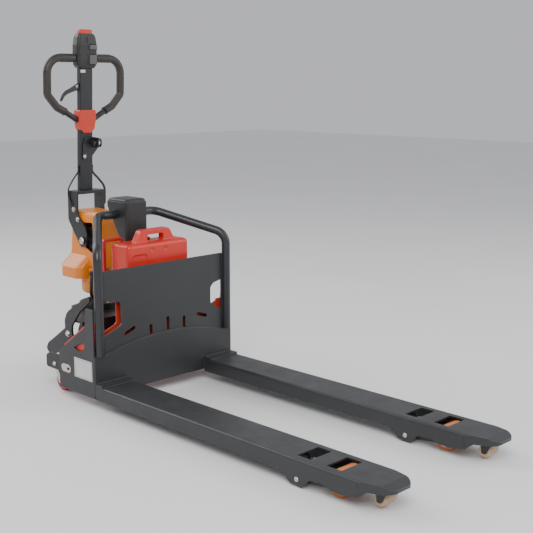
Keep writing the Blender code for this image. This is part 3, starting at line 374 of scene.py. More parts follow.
def round_path(points, radius, steps=16):
    """Path through the points whose inner corners are arcs of the radius."""
    points = [Vector(p) for p in points]
    path = [points[0]]
    for before, here, after in zip(points, points[1:], points[2:]):
        back, on = (before - here).normalized(), (after - here).normalized()
        half = back.angle(on) / 2
        centre = here + (back + on).normalized() * radius / math.sin(half)
        first = here + back * radius / math.tan(half) - centre
        last = here + on * radius / math.tan(half) - centre
        sweep = first.angle(last)
        for step in range(steps + 1):
            share = sweep * step / steps
            arm = first * math.sin(sweep - share) + last * math.sin(share)
            path.append(centre + arm / math.sin(sweep))
    path.append(points[-1])
    return path


def curve_through(points, count):
    """Evenly stepped points of a smooth curve through the given ones."""
    points = [Vector(p) for p in points]
    ends = [2 * points[0] - points[1], *points, 2 * points[-1] - points[-2]]
    made = []
    for step in range(count + 1):
        along = step / count * (len(points) - 1)
        i = min(int(along), len(points) - 2)
        t = along - i
        a, b, c, d = ends[i : i + 4]
        made.append(
            0.5 * (
                2 * b + (c - a) * t + (2 * a - 5 * b + 4 * c - d) * t**2 + (3 * b - a - 3 * c + d) * t**3
            )
        )
    return made


# ---- solids ----
def loft(rings):
    """Closed skin over rings that have the same number of points."""
    solid = bmesh.new()
    made = [[solid.verts.new(point) for point in ring] for ring in rings]
    solid.faces.new(made[0])
    solid.faces.new(made[-1])
    for first, last in zip(made, made[1:]):
        for i in range(len(first)):
            j = (i + 1) % len(first)
            solid.faces.new((first[i], first[j], last[j], last[i]))
    bmesh.ops.recalc_face_normals(solid, faces=solid.faces)
    return solid


def prism(outline, axis, low, high):
    """Outline square to the axis, pushed along it: (y, z) for X, (x, z) for Y, (x, y) for Z."""
    place = {
        "X": lambda u, v, w: (w, u, v),
        "Y": lambda u, v, w: (u, w, v),
        "Z": lambda u, v, w: (u, v, w),
    }[axis]
    return loft([[place(u, v, w) for u, v in outline] for w in (low, high)])


def box(low, high):
    return prism(rectangle(low[:2], high[:2]), "Z", low[2], high[2])


def lathe(profile, axis, centre, steps=64):
    """Profile of (radius, distance along the axis), turned round the axis. Radius 0 closes an end."""
    solid = bmesh.new()
    turn = {"X": (0, 1, 2), "Y": (1, 2, 0), "Z": (2, 0, 1)}[axis]
    rings = []
    for radius, along in profile:
        ring = []
        for step in range(steps if radius else 1):
            angle = math.tau * step / steps
            local = [0.0, 0.0, 0.0]
            local[turn[0]] = along
            local[turn[1]] = radius * math.cos(angle)
            local[turn[2]] = radius * math.sin(angle)
            ring.append(solid.verts.new(Vector(local) + Vector(centre)))
        rings.append(ring)
    closed = all(radius for radius, _ in profile)
    for i in range(len(rings) if closed else len(rings) - 1):
        first, last = rings[i], rings[(i + 1) % len(rings)]
        for step in range(steps):
            j = (step + 1) % steps
            corners = [
                first[step % len(first)], first[j % len(first)], last[j % len(last)], last[step % len(last)]
            ]
            solid.faces.new(list(dict.fromkeys(corners)))
    bmesh.ops.recalc_face_normals(solid, faces=solid.faces)
    return solid


def rod(axis, centre, radius, low, high, steps=48):
    return lathe([(0, low), (radius, low), (radius, high), (0, high)], axis, centre, steps)


def pipe(path, radius, inner=None, sides=32):
    """Round bar along a path, or a sleeve of bore radius inner. radius may be a value for each point."""
    path = [Vector(p) for p in path]
    radii = radius if isinstance(radius, list) else [radius] * len(path)
    heading = (path[1] - path[0]).normalized()
    across = heading.orthogonal().normalized()
    frames = []
    for i, point in enumerate(path):
        ahead = (path[min(i + 1, len(path) - 1)] - path[max(i - 1, 0)]).normalized()
        across = heading.rotation_difference(ahead) @ across
        heading = ahead
        frames.append((point, across, heading.cross(across)))

    def around(point, u, v, r):
        angles = [math.tau * side / sides for side in range(sides)]
        return [point + (u * math.cos(a) + v * math.sin(a)) * r for a in angles]

    rings = [around(*place, r) for place, r in zip(frames, radii)]
    if inner is None:
        return loft(rings)
    solid = bmesh.new()
    rings += [around(*place, inner) for place in reversed(frames)]
    made = [[solid.verts.new(point) for point in points] for points in rings]
    for first, last in zip(made, made[1:] + made[:1]):
        for i in range(sides):
            j = (i + 1) % sides
            solid.faces.new((first[i], first[j], last[j], last[i]))
    bmesh.ops.recalc_face_normals(solid, faces=solid.faces)
    return solid


def merged(solids):
    """One bmesh that holds them all, side by side."""
    whole = bmesh.new()
    for solid in solids:
        mesh = bpy.data.meshes.new("part")
        solid.to_mesh(mesh)
        solid.free()
        whole.from_mesh(mesh)
        bpy.data.meshes.remove(mesh)
    return whole


def weld_bead(path, radius, pitch=0.0026):
    """Rippled bead along a path."""
    path = [Vector(p) for p in path]
    spots = []
    for first, last in zip(path, path[1:]):
        count = max(1, round((last - first).length / pitch * 2))
        spots += [first.lerp(last, step / count) for step in range(count)]
    spots.append(path[-1])
    radii = [radius * (1.0 + 0.13 * (i % 2) + 0.06 * math.sin(i * 1.7)) for i in range(len(spots))]
    radii[0] = radii[-1] = radius * 0.5
    return pipe(spots, radii, sides=10)


# ---- objects ----
def new_object(name, solid, at):
    mesh = bpy.data.meshes.new(name)
    solid.to_mesh(mesh)
    solid.free()
    mesh.transform(at)
    obj = bpy.data.objects.new(name, mesh)
    bpy.context.scene.collection.objects.link(obj)
    return obj


def bake_modifiers(obj):
    """The object's mesh as its modifiers make it, with none left."""
    graph = bpy.context.evaluated_depsgraph_get()
    made = bpy.data.meshes.new_from_object(obj.evaluated_get(graph))
    obj.modifiers.clear()
    obj.data = made
    made.name = obj.name


def soften(obj, width, segments=3, angle=32):
    bevel = obj.modifiers.new("edges", "BEVEL")
    bevel.width = width
    bevel.segments = segments
    bevel.limit_method = "ANGLE"
    bevel.angle_limit = math.radians(angle)
    weighted = obj.modifiers.new("normals", "WEIGHTED_NORMAL")
    weighted.keep_sharp = True


def piece(
    name, solid, look, body, stands_for=(), at=HERE, add=(), cut=(), keep=(), edge=0.0, mould=None, angle=32
):
    """A visible piece. edge rounds its sharp edges. mould = (voxel, rounds) melts it to one soft skin."""
    obj = new_object(name, solid, at)
    tools = []
    for operation, solids in (("INTERSECT", keep), ("UNION", add), ("DIFFERENCE", cut)):
        for tool in solids:
            tools.append(new_object("tool", tool, at))
            change = obj.modifiers.new("cut", "BOOLEAN")
            change.operation = operation
            change.object = tools[-1]
    if mould:
        melt = obj.modifiers.new("melt", "REMESH")
        melt.mode = "VOXEL"
        melt.voxel_size = mould[0]
        smooth = obj.modifiers.new("smooth", "SMOOTH")
        smooth.iterations = mould[1]
    if obj.modifiers:
        bake_modifiers(obj)
    for tool in tools:
        bpy.data.objects.remove(tool)
    if edge:
        soften(obj, edge, angle=angle)
    obj.data.shade_smooth()
    if not (edge or mould):
        obj.data.set_sharp_from_angle(angle=math.radians(38))
    obj.data.materials.clear()
    obj.data.materials.append(LOOKS[look])
    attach(obj, body)
    if stands_for:
        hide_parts(*stands_for)
    return obj


def dress(node, look, width=0.0009, segments=3):
    """A CAD node kept as it is, with its edges rounded and its finish."""
    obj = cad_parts[node]
    weld = obj.modifiers.new("weld", "WELD")
    weld.merge_threshold = 1e-5
    flat = obj.modifiers.new("flat", "DECIMATE")
    flat.decimate_type = "DISSOLVE"
    flat.angle_limit = math.radians(0.6)
    soften(obj, width, segments)
    obj.data.materials.clear()
    obj.data.materials.append(LOOKS[look])
    obj.data.shade_smooth()
    return obj


def bolt_heads(name, heads, axis, body, at=HERE, look="zinc"):
    """Hexagon heads on washers: each is (centre, radius, height), and a height below 0 points back."""
    solids = []
    for centre, radius, height in heads:
        hexagon = [
            (0, height), (radius * 0.80, height), (radius, height * 0.84), (radius, height * 0.2),
            (0, height * 0.2),
        ]
        washer = [
            (0, height * 0.25), (radius * 1.28, height * 0.25), (radius * 1.34, height * 0.1),
            (radius * 1.34, 0), (0, 0),
        ]
        solids.append(lathe(washer, axis, centre, 40))
        solids.append(lathe(hexagon, axis, centre, 6))
    return piece(name, merged(solids), look, body, at=at, edge=0.0004)


# ---- forks ----
def fork_profile():
    """(y, z) side outline of a fork: the skirt dips round the bracket axle and at the roller."""
    tip, floor = -FORK_LENGTH, FORK_BOTTOM
    y, z = BRACKET_AXLE.y, BRACKET_AXLE.z
    dip = 0.016
    return fillet(
        [
            (-0.0003, FORK_TOP, 0),
            (-0.0003, floor, 0),
            (y + 0.056, floor, 0.02),
            (y + 0.022, z - dip, 0.012),
            (y - 0.022, z - dip, 0.012),
            (y - 0.046, 0.032, 0.015),
            (y - 0.094, 0.036, 0.02),
            (y - 0.122, 0.027, 0.02),
            (y - 0.160, 0.026, 0.03),
            (y - 0.212, 0.034, 0.004),
            (y - 0.236, 0.054, 0.008),
            (tip + 0.035, 0.057, 0.02),
            (tip, 0.0615, 0.004),
            (tip, 0.069, 0.005),
            (tip + 0.03, FORK_TOP, 0.03),
        ],
    )


def fork_plan(x):
    """(x, y) outline of a fork, tapered to a round nose."""
    half, tip = FORK_WIDTH / 2, -FORK_LENGTH
    corners = [(-half, 0, 0), (-half, tip + 0.100, 0.05), (-half * 0.66, tip, 0.035)]
    corners += [(-u, v, r) for u, v, r in reversed(corners)]
    return [(x + u, v) for u, v in fillet(corners, 16)]


def build_fork(side, label):
    x, half = FORK_X * side, FORK_WIDTH / 2
    section = fillet(
        [
            (x - half, -0.05, 0), (x + half, -0.05, 0), (x + half, FORK_TOP, 0.008),
            (x - half, FORK_TOP, 0.008),
        ]
    )
    channel = box((x - half + SHEET, -1.135, -0.05), (x + half - SHEET, 0.05, FORK_TOP - SHEET))
    holes = [
        prism(rectangle((x - HOLE_HALF_WIDTH, low), (x + HOLE_HALF_WIDTH, high), 0.003), "Z", 0.05, 0.2)
        for low, high in HOLES_Y
    ]
    bore = rod("X", (x, BRACKET_AXLE.y, BRACKET_AXLE.z), 0.0085, -0.1, 0.1)
    plate = box(
        (x - half + 0.0005, -0.034, FORK_TOP - 0.004), (x + half - 0.0005, -0.0003, FORK_TOP + 0.007)
    )
    piece(
        f"fork_{label}_shell",
        prism(fork_profile(), "X", x - half, x + half),
        "charcoal_paint",
        "chassis",
        stands_for=[f"fork_{label}"],
        keep=[prism(fork_plan(x), "Z", -0.1, 0.2), prism(section, "Y", -1.3, 0.1)],
        add=[plate],
        cut=[channel, bore, *holes],
        edge=0.0011,
    )
    ledge = FORK_TOP + 0.0005
    edge = half - 0.004
    beads = [
        weld_bead([(x - edge, -0.0350, ledge), (x + edge, -0.0350, ledge)], 0.0020),
        weld_bead([(x - edge, -0.0020, ledge + 0.0070), (x + edge, -0.0020, ledge + 0.0070)], 0.0026),
        weld_bead([(x - side * half, -0.0016, FORK_TOP), (x - side * half, -0.0016, 0.045)], 0.0022),
    ]
    piece(f"fork_{label}_welds", merged(beads), "charcoal_paint", "chassis")


def build_fork_ends(side, label):
    """Axles, rollers and pins in a fork's nose."""
    x, half = FORK_X * side, FORK_WIDTH / 2
    y, z = BRACKET_AXLE.y, BRACKET_AXLE.z
    ends = [
        (0, -half), (0.0068, -half), (0.008, -half + 0.0012), (0.008, half - 0.0012), (0.0068, half),
        (0, half),
    ]
    piece(
        f"bracket_axle_{label}_bar",
        lathe(ends, "X", (x, y, z)),
        "zinc",
        "chassis",
        [f"bracket_axle_{label}"],
    )
    dress(f"roller_bracket_{label}", "black_paint", 0.0007)
    dress(f"push_rod_{label}", "black_paint", 0.0010)
    dress(f"entry_bracket_{label}", "black_paint", 0.0007)

    r, w = LOAD_ROLLER.z, 0.038
    tread = [
        (0.0093, -w), (0.0290, -w), (0.0300, -w + 0.0016), (0.0312, -w + 0.0004), (r - 0.003, -w),
        (r - 0.0008, -w + 0.0010),
    ]
    tread += [(r, -w + 0.0032)]
    tread += [(radius, -along) for radius, along in reversed(tread)]
    centre = (x, LOAD_ROLLER.y, LOAD_ROLLER.z)
    piece(
        f"load_roller_{label}_tread",
        lathe(tread, "X", centre, 96),
        "orange_pu",
        f"load_roller_{label}",
        [f"load_roller_{label}"],
    )
    caps = []
    for s in (-1, 1):
        race = [
            (0.0095, s * (w - 0.002)), (0.0095, s * (w + 0.0004)), (0.0125, s * (w + 0.0006)),
            (0.0135, s * (w - 0.0006)),
        ]
        race += [
            (0.0205, s * (w - 0.0006)), (0.0212, s * (w + 0.0005)), (0.0255, s * (w + 0.0005)),
            (0.0262, s * (w - 0.002)),
        ]
        caps.append(lathe(race, "X", centre))
    piece(f"load_roller_{label}_bearings", merged(caps), "zinc", f"load_roller_{label}")

    w = 0.027
    small = [
        (0.0043, -w), (0.0085, -w), (0.0095, -w + 0.0012), (ENTRY_R - 0.004, -w + 0.0012),
        (ENTRY_R - 0.003, -w), (ENTRY_R - 0.0008, -w + 0.001),
    ]
    small += [(ENTRY_R, -w + 0.003)]
    small += [(radius, -along) for radius, along in reversed(small)]
    centre = (x, ENTRY_ROLLER.y, ENTRY_ROLLER.z)
    piece(
        f"entry_roller_{label}_tread",
        lathe(small, "X", centre),
        "tan_nylon",
        f"entry_roller_{label}",
        [f"entry_roller_{label}"],
    )

    pins = [rod("X", (x, ROD_PIN.y, ROD_PIN.z), 0.0054, -0.0128, 0.0128)]
    pins += [rod("X", (x + s * 0.0128, ROD_PIN.y, ROD_PIN.z), 0.0064, -0.0006, 0.0006) for s in (-1, 1)]
    pins += [
        rod("X", (x + s * 0.0465, LOAD_ROLLER.y, LOAD_ROLLER.z), 0.0088, -0.0012, 0.0010)
        for s in (-1, 1)
    ]
    piece(f"bracket_pins_{label}", merged(pins), "zinc", f"roller_bracket_{label}", edge=0.0003)


# ---- chassis ----
def arch_line(y, z_off, count=48):
    flat = 0.262
    xs = [flat * (1 - 2 * step / count) for step in range(count + 1)]
    return [(x, y, BULKHEAD_TOP + BULKHEAD_RISE * (1 - (x / flat) ** 2) + z_off) for x in xs]


def build_chassis():
    for side, label in SIDES:
        build_fork(side, label)
        build_fork_ends(side, label)
        dress(f"side_plate_{label}", "charcoal_paint", 0.0010)
    dress("bulkhead", "charcoal_paint", 0.0022, 4)
    dress("front_panel", "charcoal_paint", 0.0009)
    dress("inner_frame", "frame_red", 0.0008)
    dress("battery_tray", "black_paint", 0.0009)
    dress("bell_crank", "black_paint", 0.0010)
    dress("lashing_eye", "zinc", 0.0008)
    leg = Vector((HOOP_X, 0, BULKHEAD_TOP + 0.0003))
    knee = Vector((HOOP_X, 0, 0.53))
    left = [HOOP_BAR, knee, leg]
    corners = [Vector((-p.x, p.y, p.z)) for p in reversed(left)] + left
    hoop = pipe(round_path(corners, 0.052, 20), HOOP_R, sides=48)
    piece("guard_hoop_tube", hoop, "hoop_paint", "chassis", ["guard_hoop"])
    beads = [weld_bead(arch_line(0.0050, 0.0004), 0.0020)]
    for side, _ in SIDES:
        seam = side * (HOOP_X - HOOP_R + 0.0008)
        beads.append(weld_bead([(seam, 0.0058, 0.205), (seam, 0.0058, 0.455)], 0.0020))
        ring = [
            (
                side * HOOP_X + 0.0152 * math.cos(a),
                max(0.0025, 0.0152 * math.sin(a)) if math.sin(a) > 0 else 0.0030,
                BULKHEAD_TOP + 0.0008,
            )
            for a in [math.tau * step / 24 for step in range(13)]
        ]
        beads.append(weld_bead(ring, 0.0020))
    piece("chassis_welds", merged(beads), "charcoal_paint", "chassis")

    face = -WIDTH / 2
    plate = prism(rectangle((0.018, 0.090), (0.120, 0.158), 0.003), "X", face - 0.0003, face + 0.0004)
    piece("rating_plate", plate, "plate", "chassis", edge=0.0001)
    rim = prism(rectangle((0.0215, 0.0935), (0.1165, 0.1545), 0.002), "X", face - 0.0005, face + 0.0002)
    hollow = prism(rectangle((0.0225, 0.0945), (0.1155, 0.1535), 0.0015), "X", -1, 1)
    piece("rating_plate_border", rim, "grey_plastic", "chassis", cut=[hollow])
    rivets = [
        rod("X", (face, y, z), 0.0016, -0.0008, 0.0004, 24)
        for y in (0.0195, 0.1185)
        for z in (0.0915, 0.1565)
    ]
    piece("rating_plate_rivets", merged(rivets), "zinc", "chassis", edge=0.0003)
    bolt_heads("lashing_eye_bolt", [((face + 0.0060, 0.179, 0.1085), 0.0060, -0.0050)], "X", "chassis")


# ---- housing and battery ----
def build_housing():
    side = fillet(
        [
            (0.1535, 0.4005, 0), (0.178, 0.4005, 0.004), (0.186, 0.515, 0.02), (0.270, 0.646, 0.01),
            (0.270, 0.65, 0), (0.1535, 0.65, 0),
        ]
    )
    bar = rod("X", (0, HOOP_BAR.y, HOOP_BAR.z), HOOP_R + 0.0006, -0.2, 0.2)
    plan = prism(rectangle((-0.047, 0.1535), (0.047, 0.270), 0.010, 12), "Z", 0.3, 0.7)
    piece(
        "controller_housing_shell",
        prism(side, "X", -0.047, 0.047),
        "black_plastic",
        "chassis",
        ["controller_housing"],
        keep=[plan],
        cut=[bar],
        edge=0.0012,
    )
    levels = [(0.0, 0.6503), (0.0, 0.6535), (0.0008, 0.6550), (0.0026, 0.6556), (0.0030, 0.6566)]
    turns = 8
    for step in range(turns + 1):
        angle = math.pi / 2 * step / turns
        levels.append((0.0030 + 0.0080 * (1 - math.cos(angle)), 0.6572 + 0.0085 * math.sin(angle)))
    levels.append((0.020, 0.6666))
    lid = [
        [
            (x, y, z)
            for x, y in rectangle(
                (i - 0.047, 0.1535 + i), (0.047 - i, 0.270 - i), max(0.003, 0.010 - i * 0.3), 12
            )
        ]
        for i, z in levels
    ]
    piece("housing_lid_shell", loft(lid), "black_plastic", "chassis", ["housing_lid"])


def build_battery():
    x, half = BATTERY_X, BATTERY_HALF
    levels = [(0.0035, 0.352), (0.0008, 0.3545), (0.0, 0.358), (0.0, 0.508)]
    for step in range(1, 9):
        angle = math.pi / 2 * step / 8
        levels.append((0.014 * (1 - math.cos(angle)), 0.510 + 0.014 * math.sin(angle)))
    body = []
    for i, z in levels:
        outline = rectangle((i - half, 0.047 + i), (half - i, 0.150 - i), max(0.004, 0.014 - i * 0.5), 10)
        body.append([(x + u, v, z) for u, v in outline])
    grip = fillet(
        [(x - 0.092, 0.512, 0), (x + 0.092, 0.512, 0), (x + 0.062, 0.568, 0.020), (x - 0.062, 0.568, 0.020)]
    )
    hand_hole = prism(rectangle((x - 0.036, 0.5265), (x + 0.036, 0.550), 0.008), "Y", 0.0, 0.2)
    recess = prism(rectangle((x - 0.118, 0.440), (x - 0.052, 0.487), 0.012), "Y", 0.04, 0.0495)
    dimples = [rod("Y", (x + u, 0.047, 0.500), 0.007, -0.002, 0.0022) for u in (-0.030, 0.030)]
    lower = prism(rectangle((x - 0.120, 0.372), (x + 0.120, 0.420), 0.010), "Y", 0.04, 0.0490)
    piece(
        "battery_case_shell",
        loft(body),
        "battery_red",
        "battery",
        ["battery_case"],
        add=[prism(grip, "Y", 0.066, 0.096)],
        cut=[hand_hole, recess, *dimples, lower],
        mould=(0.0018, 5),
    )
    knob = [(0, 0.5243), (0.0152, 0.5243), (0.0158, 0.5255), (0.0158, 0.5300), (0.0135, 0.5334)]
    knob += [(0.006, 0.5340), (0, 0.5340)]
    piece("battery_cap_knob", lathe(knob, "Z", (x, 0.122, 0)), "dark_red", "battery", ["battery_cap"])
    outer = rectangle((-0.148, 0.403), (-0.060, 0.538), 0.014, 10)
    inner = rectangle((-0.136, 0.415), (-0.072, 0.526), 0.006, 8)
    bail = prism(outer, "Y", BAIL_Y - 0.006, BAIL_Y + 0.006)
    room = [prism(inner, "Y", 0.0, 0.3)]
    piece("battery_bail_bar", bail, "dark_red", "battery_bail", ["battery_bail"], cut=room, edge=0.0030)
    sleeves = [rod("X", (x_at, BAIL_Y, 0.409), 0.0072, -0.008, 0.008) for x_at in (-0.122, -0.086)]
    piece("bail_hinge_sleeves", merged(sleeves), "black_plastic", "battery_bail", edge=0.0008)


# ---- drive frame, castors ----
def build_drive_frame():
    dress("drive_frame", "black_paint", 0.0010)
    for side, label in SIDES:
        dress(f"frame_arm_{label}", "black_paint", 0.0011)
        dress(f"castor_fork_{label}", "zinc", 0.0006)
        x, y, z = CASTOR.x * side, CASTOR.y, CASTOR.z
        w = 0.015
        wheel = [
            (0.0053, -w), (0.0100, -w), (0.0110, -w + 0.0012), (z - 0.010, -w + 0.0012), (z - 0.009, -w),
            (z - 0.004, -w),
        ]
        wheel += [(z - 0.0014, -w + 0.0016), (z, -w + 0.0042)]
        wheel += [(radius, -along) for radius, along in reversed(wheel)]
        piece(
            f"castor_wheel_{label}_tread",
            lathe(wheel, "X", (x, y, z)),
            "dark_red",
            f"castor_wheel_{label}",
            [f"castor_wheel_{label}"],
        )
        axle = [((x + s * 0.0230, y, z), 0.0062, s * 0.0038) for s in (-1, 1)]
        bolt_heads(f"castor_bolts_{label}", axle, "X", f"castor_{label}")
        cheek = side * 0.289
        heads = [
            ((cheek, 0.269, 0.100), 0.0062, side * 0.0045),
            ((side * 0.2042, 0.308, 0.186), 0.0085, side * 0.0055),
        ]
        bolt_heads(f"frame_bolts_{label}", heads, "X", "drive_frame")

    barrel = [
        (0, 0.1123), (0.0250, 0.1123), (0.026, 0.1133), (0.026, 0.3200), (0.0245, 0.3215), (0.0245, 0.3240)
    ]
    barrel += [
        (0.0260, 0.3250), (0.0260, 0.3335), (0.0250, 0.335), (0.0144, 0.335), (0.0144, 0.122), (0, 0.122)
    ]
    piece(
        "lift_cylinder_barrel",
        lathe(barrel, "Z", (0, CYLINDER_Y, 0)),
        "black_paint",
        "drive_frame",
        ["lift_cylinder"],
    )
    crosshead = box((-0.06, 0.1575, 0.352), (0.06, 0.212, 0.364))
    ram = rod("Z", (0, CYLINDER_Y, 0), 0.0140, 0.128, 0.351, 64)
    piece("lift_ram_rod", ram, "chrome", "chassis", ["lift_ram"])
    piece("lift_crosshead", crosshead, "black_paint", "chassis", edge=0.0012)


# ---- steered drive unit ----
def skin(sections, wall):
    """A cover's outside, or with a wall its inside, lofted through (half width, front, back, radius, z)."""
    rings = []
    for half, front, back, radius, z in sections:
        outline = rectangle((wall - half, front + wall), (half - wall, back - wall), radius - wall / 2, 10)
        drop = 0.02 if z == sections[0][4] else wall
        rings.append([(x, y, z - (drop if wall else 0)) for x, y in outline])
    return loft(rings)


def build_cover():
    """Hood over the pump with a domed top, and the wider skirt behind it."""
    hood = [
        (0.0535, 0.304, 0.512, 0.022, 0.401),
        (0.0535, 0.305, 0.509, 0.022, 0.425),
        (0.0535, 0.307, 0.497, 0.022, 0.515),
    ]
    turns = 10
    for step in range(turns + 1):
        angle = math.pi / 2 * step / turns
        inset = 1 - math.cos(angle)
        half, front, back = 0.0535 - 0.0175 * inset, 0.309 + 0.029 * inset, 0.492 - 0.030 * inset
        hood.append((half, front, back, 0.022 + 0.002 * inset, 0.562 + 0.044 * math.sin(angle)))
    skirt = [
        (0.100, 0.376, 0.512, 0.034, 0.358),
        (0.100, 0.376, 0.512, 0.034, 0.397),
        (0.086, 0.378, 0.511, 0.030, 0.412),
        (0.066, 0.380, 0.509, 0.024, 0.428),
        (0.050, 0.382, 0.508, 0.020, 0.442),
    ]
    sight = [(0.350, 0.449, 0.01), (0.350, 0.567, 0.008), (0.402, 0.563, 0.01), (0.443, 0.584, 0.004)]
    sight += [(0.425, 0.505, 0.02), (0.402, 0.471, 0.006)]
    wall = 0.004
    piece(
        "unit_cover_shell",
        skin(hood, 0.0),
        "amber",
        "steering",
        ["unit_cover"],
        add=[skin(skirt, 0.0)],
        cut=[
            skin(hood, wall),
            skin(skirt, wall),
            prism(fillet(sight), "X", -1, 1),
            rod("X", (0, TILT.y, TILT.z), 0.0165, -0.2, 0.2),
            rod("Z", (0, STEER_Y, 0), 0.0635, 0.3, 0.3995, 64),
        ],
        edge=0.0016,
        angle=22,
    )


def build_drive_unit():
    y = STEER_Y
    dress("drive_fork", "black_paint", 0.0012)
    dress("pump_block", "black_paint", 0.0009)
    half = WHEEL_WIDTH / 2
    tyre = [
        (0.0783, -half), (WHEEL_R - 0.010, -half), (WHEEL_R - 0.0055, -half + 0.0012),
        (WHEEL_R - 0.002, -half + 0.0040), (WHEEL_R, -half + 0.0085),
    ]
    for groove in (-0.015, 0.0):
        tyre += [
            (WHEEL_R, groove - 0.0016), (WHEEL_R - 0.0024, groove - 0.0009),
            (WHEEL_R - 0.0024, groove + 0.0009), (WHEEL_R, groove + 0.0016),
        ]
    tyre += [(WHEEL_R, 0.0134), (WHEEL_R - 0.0024, 0.0141), (WHEEL_R - 0.0024, 0.0159), (WHEEL_R, 0.0166)]
    tyre += [
        (WHEEL_R, half - 0.0085), (WHEEL_R - 0.002, half - 0.0040), (WHEEL_R - 0.0055, half - 0.0012),
        (WHEEL_R - 0.010, half), (0.0783, half),
    ]
    piece("drive_tyre_tread", lathe(tyre, "X", (0, y, WHEEL_R), 128), "tyre", "drive_wheel", ["drive_tyre"])
    hub = [(0.0103, -half), (0.030, -half), (0.034, -half + 0.014), (0.064, -half + 0.014), (0.068, -half)]
    hub += [(0.0780, -half), (0.0780, half), (0.068, half), (0.064, half - 0.014), (0.034, half - 0.014)]
    hub += [(0.030, half), (0.0103, half)]
    piece(
        "drive_hub_casting",
        lathe(hub, "X", (0, y, WHEEL_R), 96),
        "cast",
        "drive_wheel",
        ["drive_hub"],
        edge=0.0015,
    )
    nuts = []
    for s in (-1, 1):
        for turn in range(5):
            angle = math.tau * turn / 5
            at = (s * (half - 0.014), y + 0.049 * math.cos(angle), WHEEL_R + 0.049 * math.sin(angle))
            nuts.append((at, 0.0070, s * 0.0075))
    bolt_heads("drive_wheel_nuts", nuts, "X", "drive_wheel")

    can = [(0, 0.2623), (0.034, 0.2623), (0.034, 0.298), (0.046, 0.298)]
    for step in range(9):
        angle = math.pi / 2 * step / 8
        can.append((0.048 + 0.014 * math.sin(angle), 0.312 - 0.014 * math.cos(angle)))
    can += [(0.062, 0.342), (0.0608, 0.3432), (0.0608, 0.3460), (0.062, 0.3472), (0.062, 0.398), (0, 0.398)]
    piece("motor_can_body", lathe(can, "Z", (0, y, 0), 96), "amber", "steering", ["motor_can"])
    screws = []
    for turn in range(6):
        angle = math.tau * (turn + 0.5) / 6
        screws.append(((0.055 * math.cos(angle), y + 0.055 * math.sin(angle), 0.2622), 0.0048, 0.0048))
    bolt_heads("motor_flange_bolts", screws, "Z", "steering")

    build_cover()
    route = [
        (-0.072, 0.338, 0.385), (-0.080, 0.330, 0.350), (-0.078, 0.336, 0.310), (-0.058, 0.358, 0.290),
        (-0.054, 0.362, 0.2640),
    ]
    piece(
        "motor_cable_sheath", pipe(curve_through(route, 60), 0.006), "rubber", "steering", ["motor_cable"]
    )
    glands = []
    for at, radius in (((-0.054, 0.362, 0.2640), 0.0088), ((-0.072, 0.338, 0.378), 0.0092)):
        glands.append(
            lathe(
                [(0, -0.003), (radius, -0.003), (radius, 0.008), (radius * 0.8, 0.012), (0, 0.012)],
                "Z",
                at,
                24,
            ),
        )
    piece("motor_cable_glands", merged(glands), "black_plastic", "steering", edge=0.0006)


# ---- tiller ----
def loop_path():
    """Centre line of the handle's tube, from the right hub socket over the top to the left one."""
    x0, z0 = LOOP_HUB
    half = [(x0, z0), (0.088, 0.284), (0.120, 0.300), (LOOP_X, 0.345), (LOOP_X, LOOP_TOP), (0.0, LOOP_TOP)]
    right = [Vector((-x, 0, z)) for x, z in half]
    left = [Vector((x, 0, z)) for x, z in reversed(half[:-1])]
    corners = right + left
    path = [corners[0]]
    for before, here, after in zip(corners, corners[1:], corners[2:]):
        if (before - here).angle(after - here) > math.radians(179):
            path.append(here)
            continue
        radius = 0.055 if here.z > 0.46 else 0.024
        path += round_path([before, here, after], radius, 18)[1:-1]
    path.append(corners[-1])
    return path


